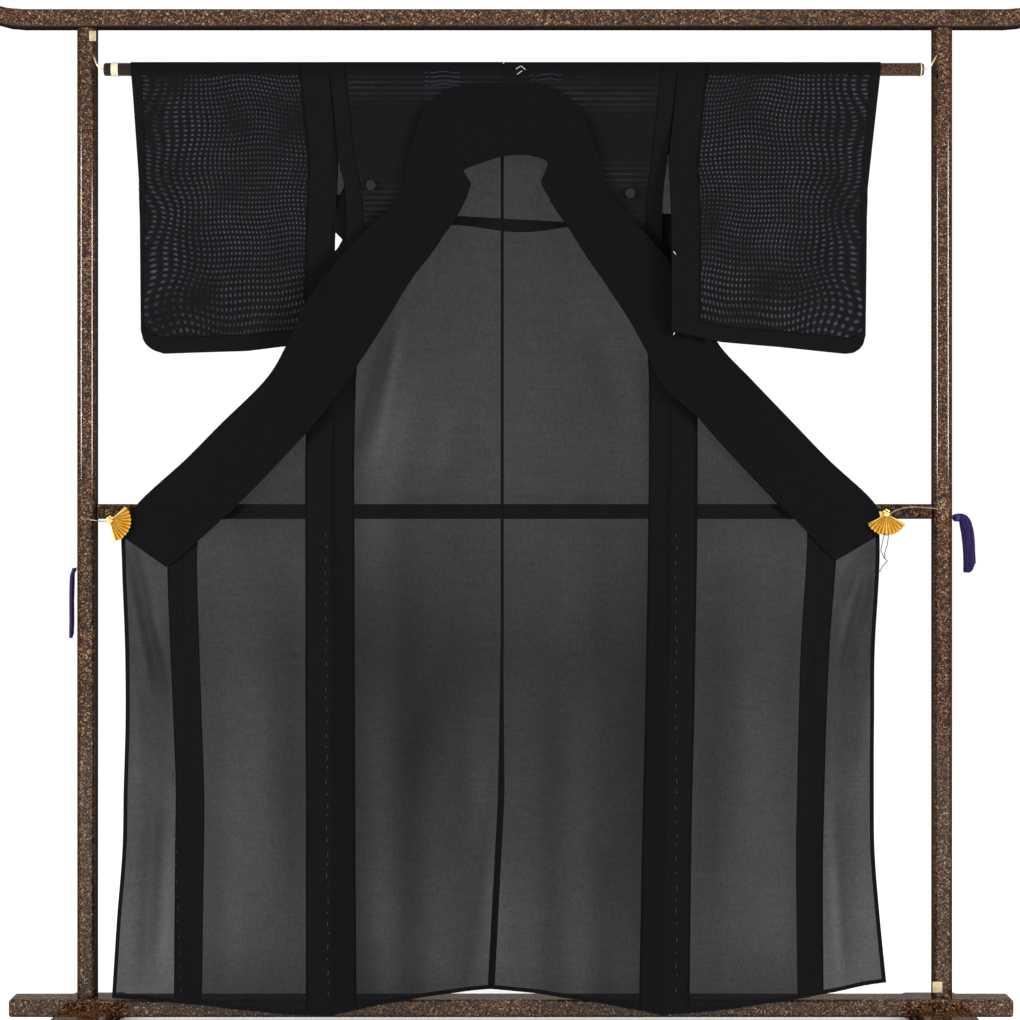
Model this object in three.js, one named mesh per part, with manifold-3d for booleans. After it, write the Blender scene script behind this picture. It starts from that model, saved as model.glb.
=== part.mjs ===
// A sheer black summer kimono on its lacquered rack, hung by the sleeves on a rod with the fronts
// opened like wings and held at the collar ends by two fan clips.
// Millimetres, +Z up, +X to the viewer's right, -Y towards the viewer, origin on the floor below
// the middle of the rack.
import * as THREE from 'three';
import { mergeVertices } from 'three/addons/utils/BufferGeometryUtils.js';
import Module from 'manifold-3d';

const wasm = await Module();
wasm.setup();

const LEFT = -1;
const RIGHT = 1;
const SIDES = [{ side: LEFT, name: 'left' }, { side: RIGHT, name: 'right' }];
const SEAM_GAP = 0.3;
const CLOTH = 1.2;

// Rack
const POST = { x: 719, width: 35, round: 10 };
const RAIL = { half: 847, depth: 64, low: 24, high: 54, chamfer: 14 };
const TOP_BAR = { straight: 825, half: 930, depth: 40, low: 1689, high: 1720, rise: 34 };
const CROSS_BAR = { low: 864, high: 889, depth: 24 };
const FOOT = { width: 92, half: 210, high: 42, toe: 26, arch: 8, archHalf: 120 };
const ROD = { y: -36, z: 1615, radius: 11, left: -686, right: 683, ringRadius: 12 };
const HANG = ROD.radius + 1 + CLOTH / 2;

// Body: the side seam, by height, with its place left and right and its depth
const SIDE_SEAM = [
  { z: 1640, left: -313, right: 275, y: -36 },
  { z: 1463, left: -295, right: 256, y: -36.5 },
  { z: 1404, left: -283, right: 249, y: -37 },
  { z: 1330, left: -283, right: 247, y: -37.5 },
  { z: 1263, left: -290, right: 251, y: -38 },
  { z: 1213, left: -295, right: 254, y: -40 },
  { z: 1154, left: -298, right: 259, y: -44 },
  { z: 1096, left: -303, right: 262, y: -51 },
  { z: 962, left: -305, right: 261, y: -70 },
  { z: 785, left: -303, right: 258, y: -97 },
  { z: 530, left: -301, right: 252, y: -130 },
  { z: 311, left: -299, right: 246, y: -156 },
  { z: 40, left: -296, right: 240, y: -181 },
];
// Half the distance between front and back along the armhole and the open underarm
const ARMHOLE = [
  { z: 1640, half: HANG },
  { z: 1600, half: HANG },
  { z: 1463, half: 8.5 },
  { z: 1330, half: 3 },
  { z: 1263, half: 0.8 },
  { z: 40, half: 0.8 },
];
const CENTRE_SEAM = [
  { z: 1640, x: -21, y: -23.4 },
  { z: 1404, x: -21, y: -22 },
  { z: 660, x: -21, y: -21 },
  { z: 393, x: -25, y: -23 },
  { z: 60, x: -43, y: -27 },
];
// Rows of the back panels, from the hem up: heights at the centre and at the side
const BACK_ROWS = [
  { centre: 77, side: 60 }, { centre: 130, side: 118 }, { centre: 210, side: 200 },
  { centre: 311, side: 311 }, { centre: 420, side: 420 }, { centre: 530, side: 530 },
  { centre: 650, side: 650 }, { centre: 785, side: 785 }, { centre: 890, side: 890 },
  { centre: 962, side: 962 }, { centre: 1096, side: 1096 }, { centre: 1213, side: 1213 },
  { centre: 1263, side: 1263 }, { centre: 1330, side: 1330 }, { centre: 1345, side: 1345 },
  { centre: 1348, side: 1348 }, { centre: 1370, side: 1370 }, { centre: 1373, side: 1373 },
  { centre: 1463, side: 1463 }, { centre: 1540, side: 1540 }, { centre: 1600, side: 1600 },
];
const WAIST_TUCK = { low: 1347, high: 1371, thick: 2.8 };

// Fronts, from the shoulder down: height at the side and at the inner edge, the hidden tuck line,
// the big fold line behind the collar, the panel seam and the front edge with its depth
const FRONT = {
  left: [
    { z: 1592, edgeZ: 1590, edge: -21, depth: -50 },
    { z: 1562, edgeZ: 1570, edge: -128, depth: -50 },
    { z: 1530, edgeZ: 1540, edge: -156, depth: -50, fold: -118 },
    { z: 1463, edgeZ: 1463, edge: -178, depth: -50, fold: -95 },
    { z: 1404, edgeZ: 1404, edge: -191, depth: -52, fold: -90 },
    { z: 1330, edgeZ: 1330, edge: -262, depth: -56, fold: -123 },
    { z: 1263, edgeZ: 1263, edge: -320, depth: -60, fold: -173 },
    { z: 1213, edgeZ: 1213, edge: -352, depth: -60, fold: -203, seam: -351 },
    { z: 1154, edgeZ: 1154, edge: -379, depth: -60, fold: -239, tuck: -340, seam: -354 },
    { z: 1096, edgeZ: 1096, edge: -414, depth: -59, fold: -278, tuck: -370, seam: -376 },
    { z: 1021, edgeZ: 1021, edge: -490, depth: -56, fold: -333, tuck: -400, seam: -424 },
    { z: 962, edgeZ: 962, edge: -549, depth: -52, fold: -389, tuck: -439, seam: -474 },
    { z: 882, edgeZ: 882, edge: -635, depth: -46, fold: -466, tuck: -490, seam: -539 },
    { z: 846, edgeZ: 846, edge: -655, depth: -44, fold: -506, tuck: -520, seam: -549 },
    { z: 785, edgeZ: 785, edge: -655, depth: -44, seam: -552 },
    { z: 649, edgeZ: 649, edge: -650, depth: -43, seam: -547 },
    { z: 530, edgeZ: 530, edge: -649, depth: -43, seam: -542 },
    { z: 412, edgeZ: 412, edge: -652, depth: -44, seam: -537 },
    { z: 311, edgeZ: 311, edge: -654, depth: -45, seam: -537 },
    { z: 190, edgeZ: 195, edge: -663, depth: -47, seam: -538 },
    { z: 60, edgeZ: 66, edge: -671, depth: -50, seam: -539 },
  ],
  right: [
    { z: 1592, edgeZ: 1590, edge: -21, depth: -50 },
    { z: 1562, edgeZ: 1570, edge: 85, depth: -50 },
    { z: 1530, edgeZ: 1540, edge: 113, depth: -50, fold: 79 },
    { z: 1463, edgeZ: 1463, edge: 142, depth: -50, fold: 59 },
    { z: 1404, edgeZ: 1404, edge: 158, depth: -50, fold: 55 },
    { z: 1330, edgeZ: 1330, edge: 226, depth: -48, fold: 104 },
    { z: 1263, edgeZ: 1263, edge: 283, depth: -46, fold: 147 },
    { z: 1213, edgeZ: 1213, edge: 313, depth: -46, fold: 180, seam: 312 },
    { z: 1154, edgeZ: 1154, edge: 341, depth: -46, fold: 217, tuck: 308, seam: 320 },
    { z: 1096, edgeZ: 1096, edge: 395, depth: -46, fold: 255, tuck: 335, seam: 356 },
    { z: 1021, edgeZ: 1021, edge: 467, depth: -46, fold: 314, tuck: 366, seam: 401 },
    { z: 962, edgeZ: 962, edge: 524, depth: -46, fold: 367, tuck: 402, seam: 448 },
    { z: 882, edgeZ: 882, edge: 604, depth: -45, fold: 442, tuck: 462, seam: 505 },
    { z: 846, edgeZ: 846, edge: 608, depth: -44, fold: 478, tuck: 492, seam: 510 },
    { z: 785, edgeZ: 785, edge: 608, depth: -44, seam: 508 },
    { z: 649, edgeZ: 649, edge: 600, depth: -43, seam: 498 },
    { z: 530, edgeZ: 530, edge: 599, depth: -43, seam: 493 },
    { z: 412, edgeZ: 412, edge: 599, depth: -43, seam: 489 },
    { z: 311, edgeZ: 311, edge: 600, depth: -44, seam: 486 },
    { z: 190, edgeZ: 205, edge: 608, depth: -45, seam: 486 },
    { z: 62, edgeZ: 92, edge: 619, depth: -46, seam: 487 },
  ],
};
const LAYER_GAP = 5;
const FOLD_TURN = 3;
const FADE_WIDTH = 20;
const SEAM_RISE = 0.35;

// Collar, from the left end round the back neck to the right end: sewn edge and free edge
const COLLAR = [
  { seamX: -650, seamZ: 832, freeX: -580, freeZ: 784 },
  { seamX: -633, seamZ: 884, freeX: -545, freeZ: 811 },
  { seamX: -549, seamZ: 962, freeX: -466, freeZ: 882 },
  { seamX: -490, seamZ: 1021, freeX: -411, freeZ: 936 },
  { seamX: -414, seamZ: 1096, freeX: -333, freeZ: 1021 },
  { seamX: -379, seamZ: 1154, freeX: -283, freeZ: 1088 },
  { seamX: -352, seamZ: 1213, freeX: -244, freeZ: 1146 },
  { seamX: -320, seamZ: 1263, freeX: -207, freeZ: 1208 },
  { seamX: -262, seamZ: 1330, freeX: -151, freeZ: 1293 },
  { seamX: -191, seamZ: 1404, freeX: -99, freeZ: 1363 },
  { seamX: -178, seamZ: 1463, freeX: -74, freeZ: 1416 },
  { seamX: -155, seamZ: 1538, freeX: -79, freeZ: 1433 },
  { seamX: -131, seamZ: 1567, freeX: -84, freeZ: 1445 },
  { seamX: -82, seamZ: 1588, freeX: -51, freeZ: 1458 },
  { seamX: -21, seamZ: 1590, freeX: -18, freeZ: 1468 },
  { seamX: 46, seamZ: 1586, freeX: 22, freeZ: 1469 },
  { seamX: 88, seamZ: 1567, freeX: 53, freeZ: 1459 },
  { seamX: 113, seamZ: 1538, freeX: 50, freeZ: 1441 },
  { seamX: 141, seamZ: 1463, freeX: 45, freeZ: 1420 },
  { seamX: 158, seamZ: 1404, freeX: 71, freeZ: 1379 },
  { seamX: 226, seamZ: 1330, freeX: 121, freeZ: 1298 },
  { seamX: 283, seamZ: 1263, freeX: 175, freeZ: 1222 },
  { seamX: 313, seamZ: 1213, freeX: 217, freeZ: 1146 },
  { seamX: 341, seamZ: 1154, freeX: 248, freeZ: 1083 },
  { seamX: 395, seamZ: 1096, freeX: 303, freeZ: 1033 },
  { seamX: 467, seamZ: 1021, freeX: 384, freeZ: 946 },
  { seamX: 524, seamZ: 962, freeX: 447, freeZ: 882 },
  { seamX: 602, seamZ: 887, freeX: 514, freeZ: 814 },
  { seamX: 606, seamZ: 836, freeX: 535, freeZ: 795 },
];
const COLLAR_CELLS = 4;
const COLLAR_LIFT = 3.2;
const COLLAR_PUFF = 2.5;
const COLLAR_FRONT = { high: -49, low: -38, from: 1263, over: 300 };

// Sleeves: edges by height, the lower edge by its share of the width, and how far they swing
const SLEEVE = {
  left: {
    inner: [{ z: 1463, x: -295 }, { z: 1331, x: -301 }, { z: 1160, x: -303 }],
    outer: [{ z: 1640, x: -642 }, { z: 1564, x: -636 }, { z: 1430, x: -627 }, { z: 1100, x: -624 }],
    lower: [{ at: 0, z: 1160 }, { at: 0.25, z: 1153 }, { at: 0.45, z: 1145 }, { at: 0.93, z: 1140 },
      { at: 0.98, z: 1147 }, { at: 1, z: 1165 }],
    swingInner: 14, swingOuter: -2,
  },
  right: {
    inner: [{ z: 1463, x: 256 }, { z: 1370, x: 260 }, { z: 1176, x: 260 }],
    outer: [{ z: 1640, x: 612 }, { z: 1602, x: 609 }, { z: 1413, x: 588 }, { z: 1100, x: 584 }],
    lower: [{ at: 0, z: 1176 }, { at: 0.25, z: 1158 }, { at: 0.55, z: 1150 }, { at: 0.92, z: 1139 },
      { at: 0.98, z: 1146 }, { at: 1, z: 1163 }],
    swingInner: -33, swingOuter: -10,
  },
};
const SLEEVE_ACROSS = [0, 0.14, 0.3, 0.47, 0.64, 0.8, 0.93, 0.98, 1];
const SLEEVE_UP = [0, 0.02, 0.08, 0.2, 0.36, 0.52, 0.68, 0.84, 1];
const SLEEVE_HALF = [
  { z: 1640, half: HANG }, { z: 1600, half: HANG }, { z: 1463, half: 8.5 }, { z: 1300, half: 7 },
  { z: 1190, half: 5 },
];
const SEWN_HALF = 1;
const CUFF_END = 1398;
const ARMHOLE_END = 1463;
const SHOULDER_ANGLES = [180, 135, 90, 45, 0];

// Clips and tassels
const FAN_RIBS = 8;
const CLIPS = {
  left: { x: -674, z: 861, radius: 43, from: -48, to: 34 },
  right: { x: 619, z: 872, radius: 45, from: 226, to: 314 },
};
const FAN_Y = -52.5;
const WIRE_RADIUS = 0.9;
const TASSEL = { strands: 24, strandRadius: 0.9, headRadius: 7, headHigh: 24 };

const mix = (a, b, t) => a + (b - a) * t;
const clamp01 = (t) => Math.min(1, Math.max(0, t));
const smooth = (t) => { const c = clamp01(t); return c * c * (3 - 2 * c); };

// The value of a table's column at a height, with straight lines between its rows
function lookup(table, z, column, key = 'z') {
  const rows = table[0][key] > table[table.length - 1][key] ? table : [...table].reverse();
  if (z >= rows[0][key]) return rows[0][column];
  for (let i = 1; i < rows.length; i += 1) {
    if (z >= rows[i][key]) {
      const t = (z - rows[i][key]) / (rows[i - 1][key] - rows[i][key]);
      return mix(rows[i][column], rows[i - 1][column], t);
    }
  }
  return rows[rows.length - 1][column];
}

// A closed wall round a grid of middle points, with its thickness given for each point
function wallGeometry(grid, thickness = () => CLOTH) {
  const rows = grid.length;
  const cols = grid[0].length;
  const skins = [[], []];
  for (let r = 0; r < rows; r += 1) {
    for (let c = 0; c < cols; c += 1) {
      const along = new THREE.Vector3().subVectors(
        grid[Math.min(r + 1, rows - 1)][c], grid[Math.max(r - 1, 0)][c]);
      const across = new THREE.Vector3().subVectors(
        grid[r][Math.min(c + 1, cols - 1)], grid[r][Math.max(c - 1, 0)]);
      const normal = along.cross(across).normalize();
      const half = thickness(r, c) / 2;
      skins[0].push(grid[r][c].clone().addScaledVector(normal, half));
      skins[1].push(grid[r][c].clone().addScaledVector(normal, -CLOTH / 2));
    }
  }
  const at = (r, c, skin) => skin * rows * cols + r * cols + c;
  const faces = [];
  const quad = (a, b, c, d) => faces.push(a, b, c, a, c, d);
  for (let r = 0; r < rows - 1; r += 1) {
    for (let c = 0; c < cols - 1; c += 1) {
      quad(at(r, c, 0), at(r + 1, c, 0), at(r + 1, c + 1, 0), at(r, c + 1, 0));
      quad(at(r, c, 1), at(r, c + 1, 1), at(r + 1, c + 1, 1), at(r + 1, c, 1));
    }
  }
  for (let r = 0; r < rows - 1; r += 1) {
    quad(at(r, 0, 0), at(r, 0, 1), at(r + 1, 0, 1), at(r + 1, 0, 0));
    quad(at(r, cols - 1, 0), at(r + 1, cols - 1, 0), at(r + 1, cols - 1, 1), at(r, cols - 1, 1));
  }
  for (let c = 0; c < cols - 1; c += 1) {
    quad(at(0, c, 0), at(0, c + 1, 0), at(0, c + 1, 1), at(0, c, 1));
    quad(at(rows - 1, c, 0), at(rows - 1, c, 1), at(rows - 1, c + 1, 1), at(rows - 1, c + 1, 0));
  }
  const geometry = new THREE.BufferGeometry();
  geometry.setAttribute('position', new THREE.Float32BufferAttribute(
    [...skins[0], ...skins[1]].flatMap((p) => [p.x, p.y, p.z]), 3));
  geometry.setIndex(faces);
  return facingOut(geometry);
}

// Turns the faces over if they point in
function facingOut(geometry) {
  const p = geometry.attributes.position;
  const index = geometry.index.array;
  const [a, b, c] = [new THREE.Vector3(), new THREE.Vector3(), new THREE.Vector3()];
  let volume = 0;
  for (let i = 0; i < index.length; i += 3) {
    a.fromBufferAttribute(p, index[i]);
    b.fromBufferAttribute(p, index[i + 1]);
    c.fromBufferAttribute(p, index[i + 2]);
    volume += a.dot(b.cross(c));
  }
  if (volume < 0) {
    for (let i = 0; i < index.length; i += 3) {
      [index[i + 1], index[i + 2]] = [index[i + 2], index[i + 1]];
    }
  }
  return geometry;
}

function toSolid(geometry) {
  let g = geometry.clone();
  g.deleteAttribute('normal');
  g.deleteAttribute('uv');
  g = mergeVertices(g, 1e-4);
  return new wasm.Manifold(new wasm.Mesh({
    numProp: 3,
    vertProperties: new Float32Array(g.attributes.position.array),
    triVerts: new Uint32Array(g.index.array),
  }));
}

function fromSolid(solid) {
  const mesh = solid.getMesh();
  const g = new THREE.BufferGeometry();
  g.setAttribute('position', new THREE.BufferAttribute(mesh.vertProperties, 3));
  g.setIndex(new THREE.BufferAttribute(mesh.triVerts, 1));
  return g;
}

const join = (...geometries) => fromSolid(
  geometries.map(toSolid).reduce((a, b) => a.add(b)));

function ellipse(radius, sides) {
  const shape = new THREE.Shape();
  for (let i = 0; i < sides; i += 1) {
    const a = (2 * Math.PI * i) / sides;
    shape[i ? 'lineTo' : 'moveTo'](radius * Math.cos(a), radius * Math.sin(a));
  }
  shape.closePath();
  return shape;
}

function tube(points, radius, sides = 6, steps = 8) {
  const path = new THREE.CatmullRomCurve3(points.map((p) => new THREE.Vector3(...p)));
  return new THREE.ExtrudeGeometry(ellipse(radius, sides), { extrudePath: path, steps });
}

// Soft waves in a hanging panel, growing towards the hem
function wave(x, z) {
  const growth = 5 * smooth((1250 - z) / 1100);
  return growth * Math.sin(x / 21 + 0.6) * Math.sin(x / 47 + z / 900);
}

const sideX = (name, z) => lookup(SIDE_SEAM, z, name);
const sideY = (z) => lookup(SIDE_SEAM, z, 'y');

// One front's row at a height: every line's place, and how strongly each fold is laid
function frontRow(name, row) {
  const side = name === 'left' ? LEFT : RIGHT;
  const side0 = sideX(name, row.z);
  const inner = row.seam ?? row.edge;
  const fold = row.fold ?? mix(side0, inner, 0.75);
  const tuck = row.tuck ?? mix(side0, fold, row.fold === undefined ? 0.53 : 0.4);
  const depthOfFold = row.tuck === undefined ? (fold - inner) * -side : (fold - tuck) * -side;
  const laid = row.fold === undefined ? 0 : smooth(Math.abs(depthOfFold) / FADE_WIDTH);
  return {
    ...row, side, side0, inner, fold, tuck, laid,
    tucked: row.tuck === undefined ? 0 : laid,
    sideY: sideY(row.z) - lookup(ARMHOLE, row.z, 'half'),
  };
}

// Depth of a front at a place across: layer 2 is the one that shows, 1 and 0 lie behind it
function frontDepth(row, x, layer) {
  const out = (x - row.side0) * row.side;
  const edgeOut = Math.max((row.edge - row.side0) * row.side, 40);
  const nearSide = row.sideY - LAYER_GAP * (row.laid + row.tucked);
  const top = out <= 0 ? nearSide : mix(nearSide, row.depth, smooth(out / edgeOut));
  const behind = LAYER_GAP * (row.laid * Math.min(2 - layer, 1)
    + row.tucked * Math.max(1 - layer, 0));
  const ripple = out > 0 ? wave(x, row.z) * smooth(out / 60) : 0;
  return top + behind + ripple;
}

// The points across a front, with both folds turned in three steps
function frontPoints(name, tableRow) {
  const row = frontRow(name, tableRow);
  const inwards = Math.sign(row.tuck - row.side0);
  const towardsFold = Math.sign(row.fold - row.tuck);
  const outwards = Math.sign(row.inner - row.fold);
  const start = row.side0;
  const end = row.inner + row.side * -SEAM_GAP / 2 * (row.seam === undefined ? 0 : 1);
  const stops = [
    [start, 0], [mix(start, row.tuck, 0.5), 0], [row.tuck - inwards * FOLD_TURN, 0],
    [row.tuck, 0.5], [row.tuck + towardsFold * FOLD_TURN, 1],
    [mix(row.tuck, row.fold, 0.35), 1], [mix(row.tuck, row.fold, 0.7), 1],
    [row.fold - towardsFold * FOLD_TURN, 1], [row.fold, 1.5],
    [row.fold + outwards * FOLD_TURN, 2],
    [mix(row.fold, end, 0.35), 2], [mix(row.fold, end, 0.7), 2], [end, 2],
  ];
  return stops.map(([x, layer]) => {
    const share = clamp01((x - start) / (end - start || 1));
    const z = mix(row.z, row.edgeZ, share * (row.seam === undefined ? 1 : SEAM_RISE));
    return new THREE.Vector3(x, frontDepth(row, x, layer), z);
  });
}

// The points across a back panel at one row, from the side seam to the centre seam
function backPoints(name, row, cells) {
  const side = name === 'left' ? LEFT : RIGHT;
  const points = [];
  for (let c = 0; c <= cells; c += 1) {
    const t = 1 - c / cells;
    const z = mix(row.centre, row.side, t);
    const centreX = lookup(CENTRE_SEAM, z, 'x') + side * SEAM_GAP / 2;
    const centreY = lookup(CENTRE_SEAM, z, 'y');
    const x = mix(centreX, sideX(name, z), t);
    const edgeY = sideY(z) + lookup(ARMHOLE, z, 'half');
    const ripple = wave(x, z) * Math.sin(Math.PI * t);
    points.push(new THREE.Vector3(x, mix(centreY, edgeY, t ** 1.7) + ripple, z));
  }
  return points;
}

// The cloth's place over the rod, from 180 degrees at its back to 0 at its front
function overRod(angle) {
  const a = THREE.MathUtils.degToRad(angle);
  return { y: ROD.y - HANG * Math.cos(a), z: ROD.z + HANG * Math.sin(a) };
}

function shoulderPoints(name, angle, cells) {
  const side = name === 'left' ? LEFT : RIGHT;
  const { y, z } = overRod(angle);
  const points = [];
  for (let c = 0; c <= cells; c += 1) {
    const x = mix(sideX(name, z), CENTRE_SEAM[0].x + side * SEAM_GAP / 2, c / cells);
    points.push(new THREE.Vector3(x, y, z));
  }
  return points;
}

// One body panel: cut in one length from the back hem over the shoulder to the front hem
function bodyPanel(name) {
  const cells = 12;
  const tuckRows = BACK_ROWS.map((row) => row.side > WAIST_TUCK.low && row.side < WAIST_TUCK.high);
  const grid = [
    ...BACK_ROWS.map((row) => backPoints(name, row, cells)),
    ...SHOULDER_ANGLES.map((angle) => shoulderPoints(name, angle, cells)),
    ...FRONT[name].map((row) => frontPoints(name, row)),
  ];
  return wallGeometry(grid, (r) => (tuckRows[r] ? WAIST_TUCK.thick : CLOTH));
}

// The overlap panel: from its point at the collar seam down to the hem
function overlapPanel(name) {
  const cells = 4;
  const side = name === 'left' ? LEFT : RIGHT;
  const rows = FRONT[name].filter((row) => row.seam !== undefined && row.z < 1200);
  const grid = rows.map((tableRow) => {
    const row = frontRow(name, tableRow);
    const points = [];
    for (let c = 0; c <= cells; c += 1) {
      const x = mix(row.seam + side * SEAM_GAP / 2, row.edge, c / cells);
      points.push(new THREE.Vector3(x, frontDepth(row, x, 2),
        mix(row.z, row.edgeZ, mix(SEAM_RISE, 1, c / cells))));
    }
    return points;
  });
  return wallGeometry(grid);
}

// A front's row at any height, between the rows of its table
function frontRowAt(name, z) {
  const rows = FRONT[name];
  let i = rows.findIndex((row) => row.z <= z);
  if (i < 1) i = 1;
  const [above, below] = [frontRow(name, rows[i - 1]), frontRow(name, rows[i])];
  const t = clamp01((above.z - z) / (above.z - below.z));
  const row = { side: below.side, z };
  for (const key of ['side0', 'edge', 'depth', 'laid', 'tucked', 'sideY']) {
    row[key] = mix(above[key], below[key], t);
  }
  return row;
}

function collarGeometry() {
  const grid = COLLAR.map((row) => {
    const name = row.seamX < CENTRE_SEAM[0].x ? 'left' : 'right';
    const points = [];
    for (let c = 0; c <= COLLAR_CELLS; c += 1) {
      const t = c / COLLAR_CELLS;
      const x = mix(row.seamX, row.freeX, t);
      const z = mix(row.seamZ, row.freeZ, t);
      const panel = frontDepth(frontRowAt(name, z), x, 2);
      const { high, low, from, over } = COLLAR_FRONT;
      const hung = mix(high, low, smooth((from - z) / over));
      const y = Math.min(panel, hung) - COLLAR_LIFT
        - COLLAR_PUFF * Math.sin(Math.PI * t);
      points.push(new THREE.Vector3(x, y, z));
    }
    return points;
  });
  return wallGeometry(grid);
}

// A sleeve: one cloth folded over the rod, sewn below and along the cuff side, open at the cuff
// above, and open towards the body
function sleeveGeometry(name) {
  const side = name === 'left' ? LEFT : RIGHT;
  const form = SLEEVE[name];
  const innerX = (z) => side * SEAM_GAP
    + (z >= ARMHOLE_END ? sideX(name, z) : lookup(form.inner, z, 'x'));
  const across = (share, z) => mix(innerX(z), lookup(form.outer, z, 'x'), share);
  const grid = SLEEVE_ACROSS.map((share) => {
    const bottom = lookup(form.lower, share, 'z', 'at');
    const heights = SLEEVE_UP.slice(0, -1).map((up) => mix(bottom, ROD.z, up));
    const face = (z, facing) => {
      const swing = mix(form.swingInner, form.swingOuter, share) * smooth((1590 - z) / 330);
      const open = lookup(SLEEVE_HALF, z, 'half') * smooth((z - bottom) / 45);
      const shut = smooth((share - 0.78) / 0.2) * smooth((CUFF_END - z) / 40);
      const half = Math.max(SEWN_HALF, open * (1 - shut));
      const x = across(share, z);
      const ripple = 1.5 * Math.sin(x / 26) * smooth((1500 - z) / 250);
      return new THREE.Vector3(x, ROD.y + swing + ripple + facing * half, z);
    };
    return [
      ...heights.map((z) => face(z, 1)),
      ...SHOULDER_ANGLES.map((angle) => {
        const { y, z } = overRod(angle);
        return new THREE.Vector3(across(share, z), y, z);
      }),
      ...heights.reverse().map((z) => face(z, -1)),
    ];
  });
  return wallGeometry(grid);
}

function roundedBar(width, depth, round, length) {
  const shape = new THREE.Shape();
  const [w, d] = [width / 2, depth / 2];
  shape.moveTo(w - round, -d);
  shape.absarc(w - round, -d + round, round, -Math.PI / 2, 0, false);
  shape.absarc(w - round, d - round, round, 0, Math.PI / 2, false);
  shape.absarc(-w + round, d - round, round, Math.PI / 2, Math.PI, false);
  shape.absarc(-w + round, -d + round, round, Math.PI, 1.5 * Math.PI, false);
  return new THREE.ExtrudeGeometry(shape, { depth: length, bevelEnabled: false, curveSegments: 3 });
}

// A plate cut to an outline of [across, up] points, and as deep as given, middle on the XZ plane
function plate(outline, depth) {
  const shape = new THREE.Shape(outline.map(([x, z]) => new THREE.Vector2(x, z)));
  const g = new THREE.ExtrudeGeometry(shape, { depth, bevelEnabled: false });
  g.translate(0, 0, -depth / 2);
  g.rotateX(Math.PI / 2);
  return g;
}

function topBar() {
  const steps = [0, 0.25, 0.5, 0.75, 1];
  const reach = TOP_BAR.half - TOP_BAR.straight;
  const curve = (z, trim) => steps.map((t) => [
    TOP_BAR.straight + (reach - trim) * t, z + TOP_BAR.rise * t * t]);
  const right = [...curve(TOP_BAR.low, 10), ...curve(TOP_BAR.high, 0).reverse()];
  const left = right.map(([x, z]) => [-x, z]).reverse();
  return plate([...right, ...left], TOP_BAR.depth);
}

function baseRail() {
  const { half, low, high, chamfer } = RAIL;
  return plate([[-half, low], [half, low], [half, high - chamfer], [half - chamfer, high],
    [-half + chamfer, high], [-half, high - chamfer]], RAIL.depth);
}

function foot() {
  const { half, high, toe, arch, archHalf, width } = FOOT;
  const notch = RAIL.depth / 2 + SEAM_GAP;
  const floor = RAIL.low - SEAM_GAP;
  const front = [[half, 0], [half, toe], [half - 70, high], [notch, high], [notch, floor]];
  const back = front.map(([y, z]) => [-y, z]).reverse();
  const under = [[-archHalf - 14, 0], [-archHalf, arch], [archHalf, arch], [archHalf + 14, 0]];
  const g = plate([...front, ...back, ...under], width);
  g.rotateZ(Math.PI / 2);
  return g;
}

function rod() {
  const { left, right, radius, ringRadius } = ROD;
  const profile = [
    [0, left], [radius - 2, left], [radius, left + 2], [radius, left + 12],
    [ringRadius, left + 12.5], [ringRadius, left + 24], [radius, left + 24.5],
    [radius, right - 8], [ringRadius - 0.4, right - 7.5], [ringRadius - 0.4, right - 4],
    [radius, right - 3.5], [radius - 2, right], [0, right],
  ].map(([r, x]) => new THREE.Vector2(r, x));
  const g = new THREE.LatheGeometry(profile, 20);
  g.rotateZ(-Math.PI / 2);
  g.translate(0, ROD.y, ROD.z);
  return g;
}

// A clip: a pleated fan in front of the cloth, a small jaw behind it, joined by the pivot
function clip(name) {
  const { x, z, radius, from, to } = CLIPS[name];
  const side = name === 'left' ? LEFT : RIGHT;
  const rays = 2 * FAN_RIBS;
  const grid = [];
  for (let r = 0; r <= 2; r += 1) {
    const distance = mix(4, radius, r / 2);
    const row = [];
    for (let i = 0; i <= rays; i += 1) {
      const a = THREE.MathUtils.degToRad(mix(from, to, i / rays));
      const raised = i % 2 ? -0.45 * r : 0.45 * r;
      row.push(new THREE.Vector3(
        x + distance * Math.cos(a), FAN_Y + raised, z + distance * Math.sin(a)));
    }
    grid.push(row);
  }
  const pivot = new THREE.CylinderGeometry(5, 5, 14, 12);
  pivot.translate(x, FAN_Y + 5.5, z);
  const jaw = new THREE.BoxGeometry(26, 1.6, 9);
  jaw.translate(x - side * 12, FAN_Y + 11.6, z);
  return join(wallGeometry(grid), pivot, jaw);
}

const CLIP_WIRES = {
  left: [[-679.5, -42, 861], [-690, -34, 860], [-706, -19.5, 862], [-726, -18.8, 864]],
  right: [[624.5, -42, 872], [640, -38, 880], [665, -30, 884], [700, -19.8, 882],
    [716, -18.8, 880]],
};
const ROD_HANGERS = {
  left: [[ROD.left - 0.6, ROD.y, ROD.z], [ROD.left - 4, ROD.y, ROD.z], [-698, -34, 1623], [-704, -26, 1636],
    [-708, -18.4, 1642]],
  right: [[ROD.right + 0.6, ROD.y, ROD.z], [ROD.right + 4, ROD.y, ROD.z], [696, -34, 1623], [704, -26, 1636],
    [708, -18.4, 1642]],
};
const TASSELS = {
  left: { x: -749, z: 766, long: 98, spread: 5 },
  right: { x: 758, z: 872, long: 97, spread: 9 },
};

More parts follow.
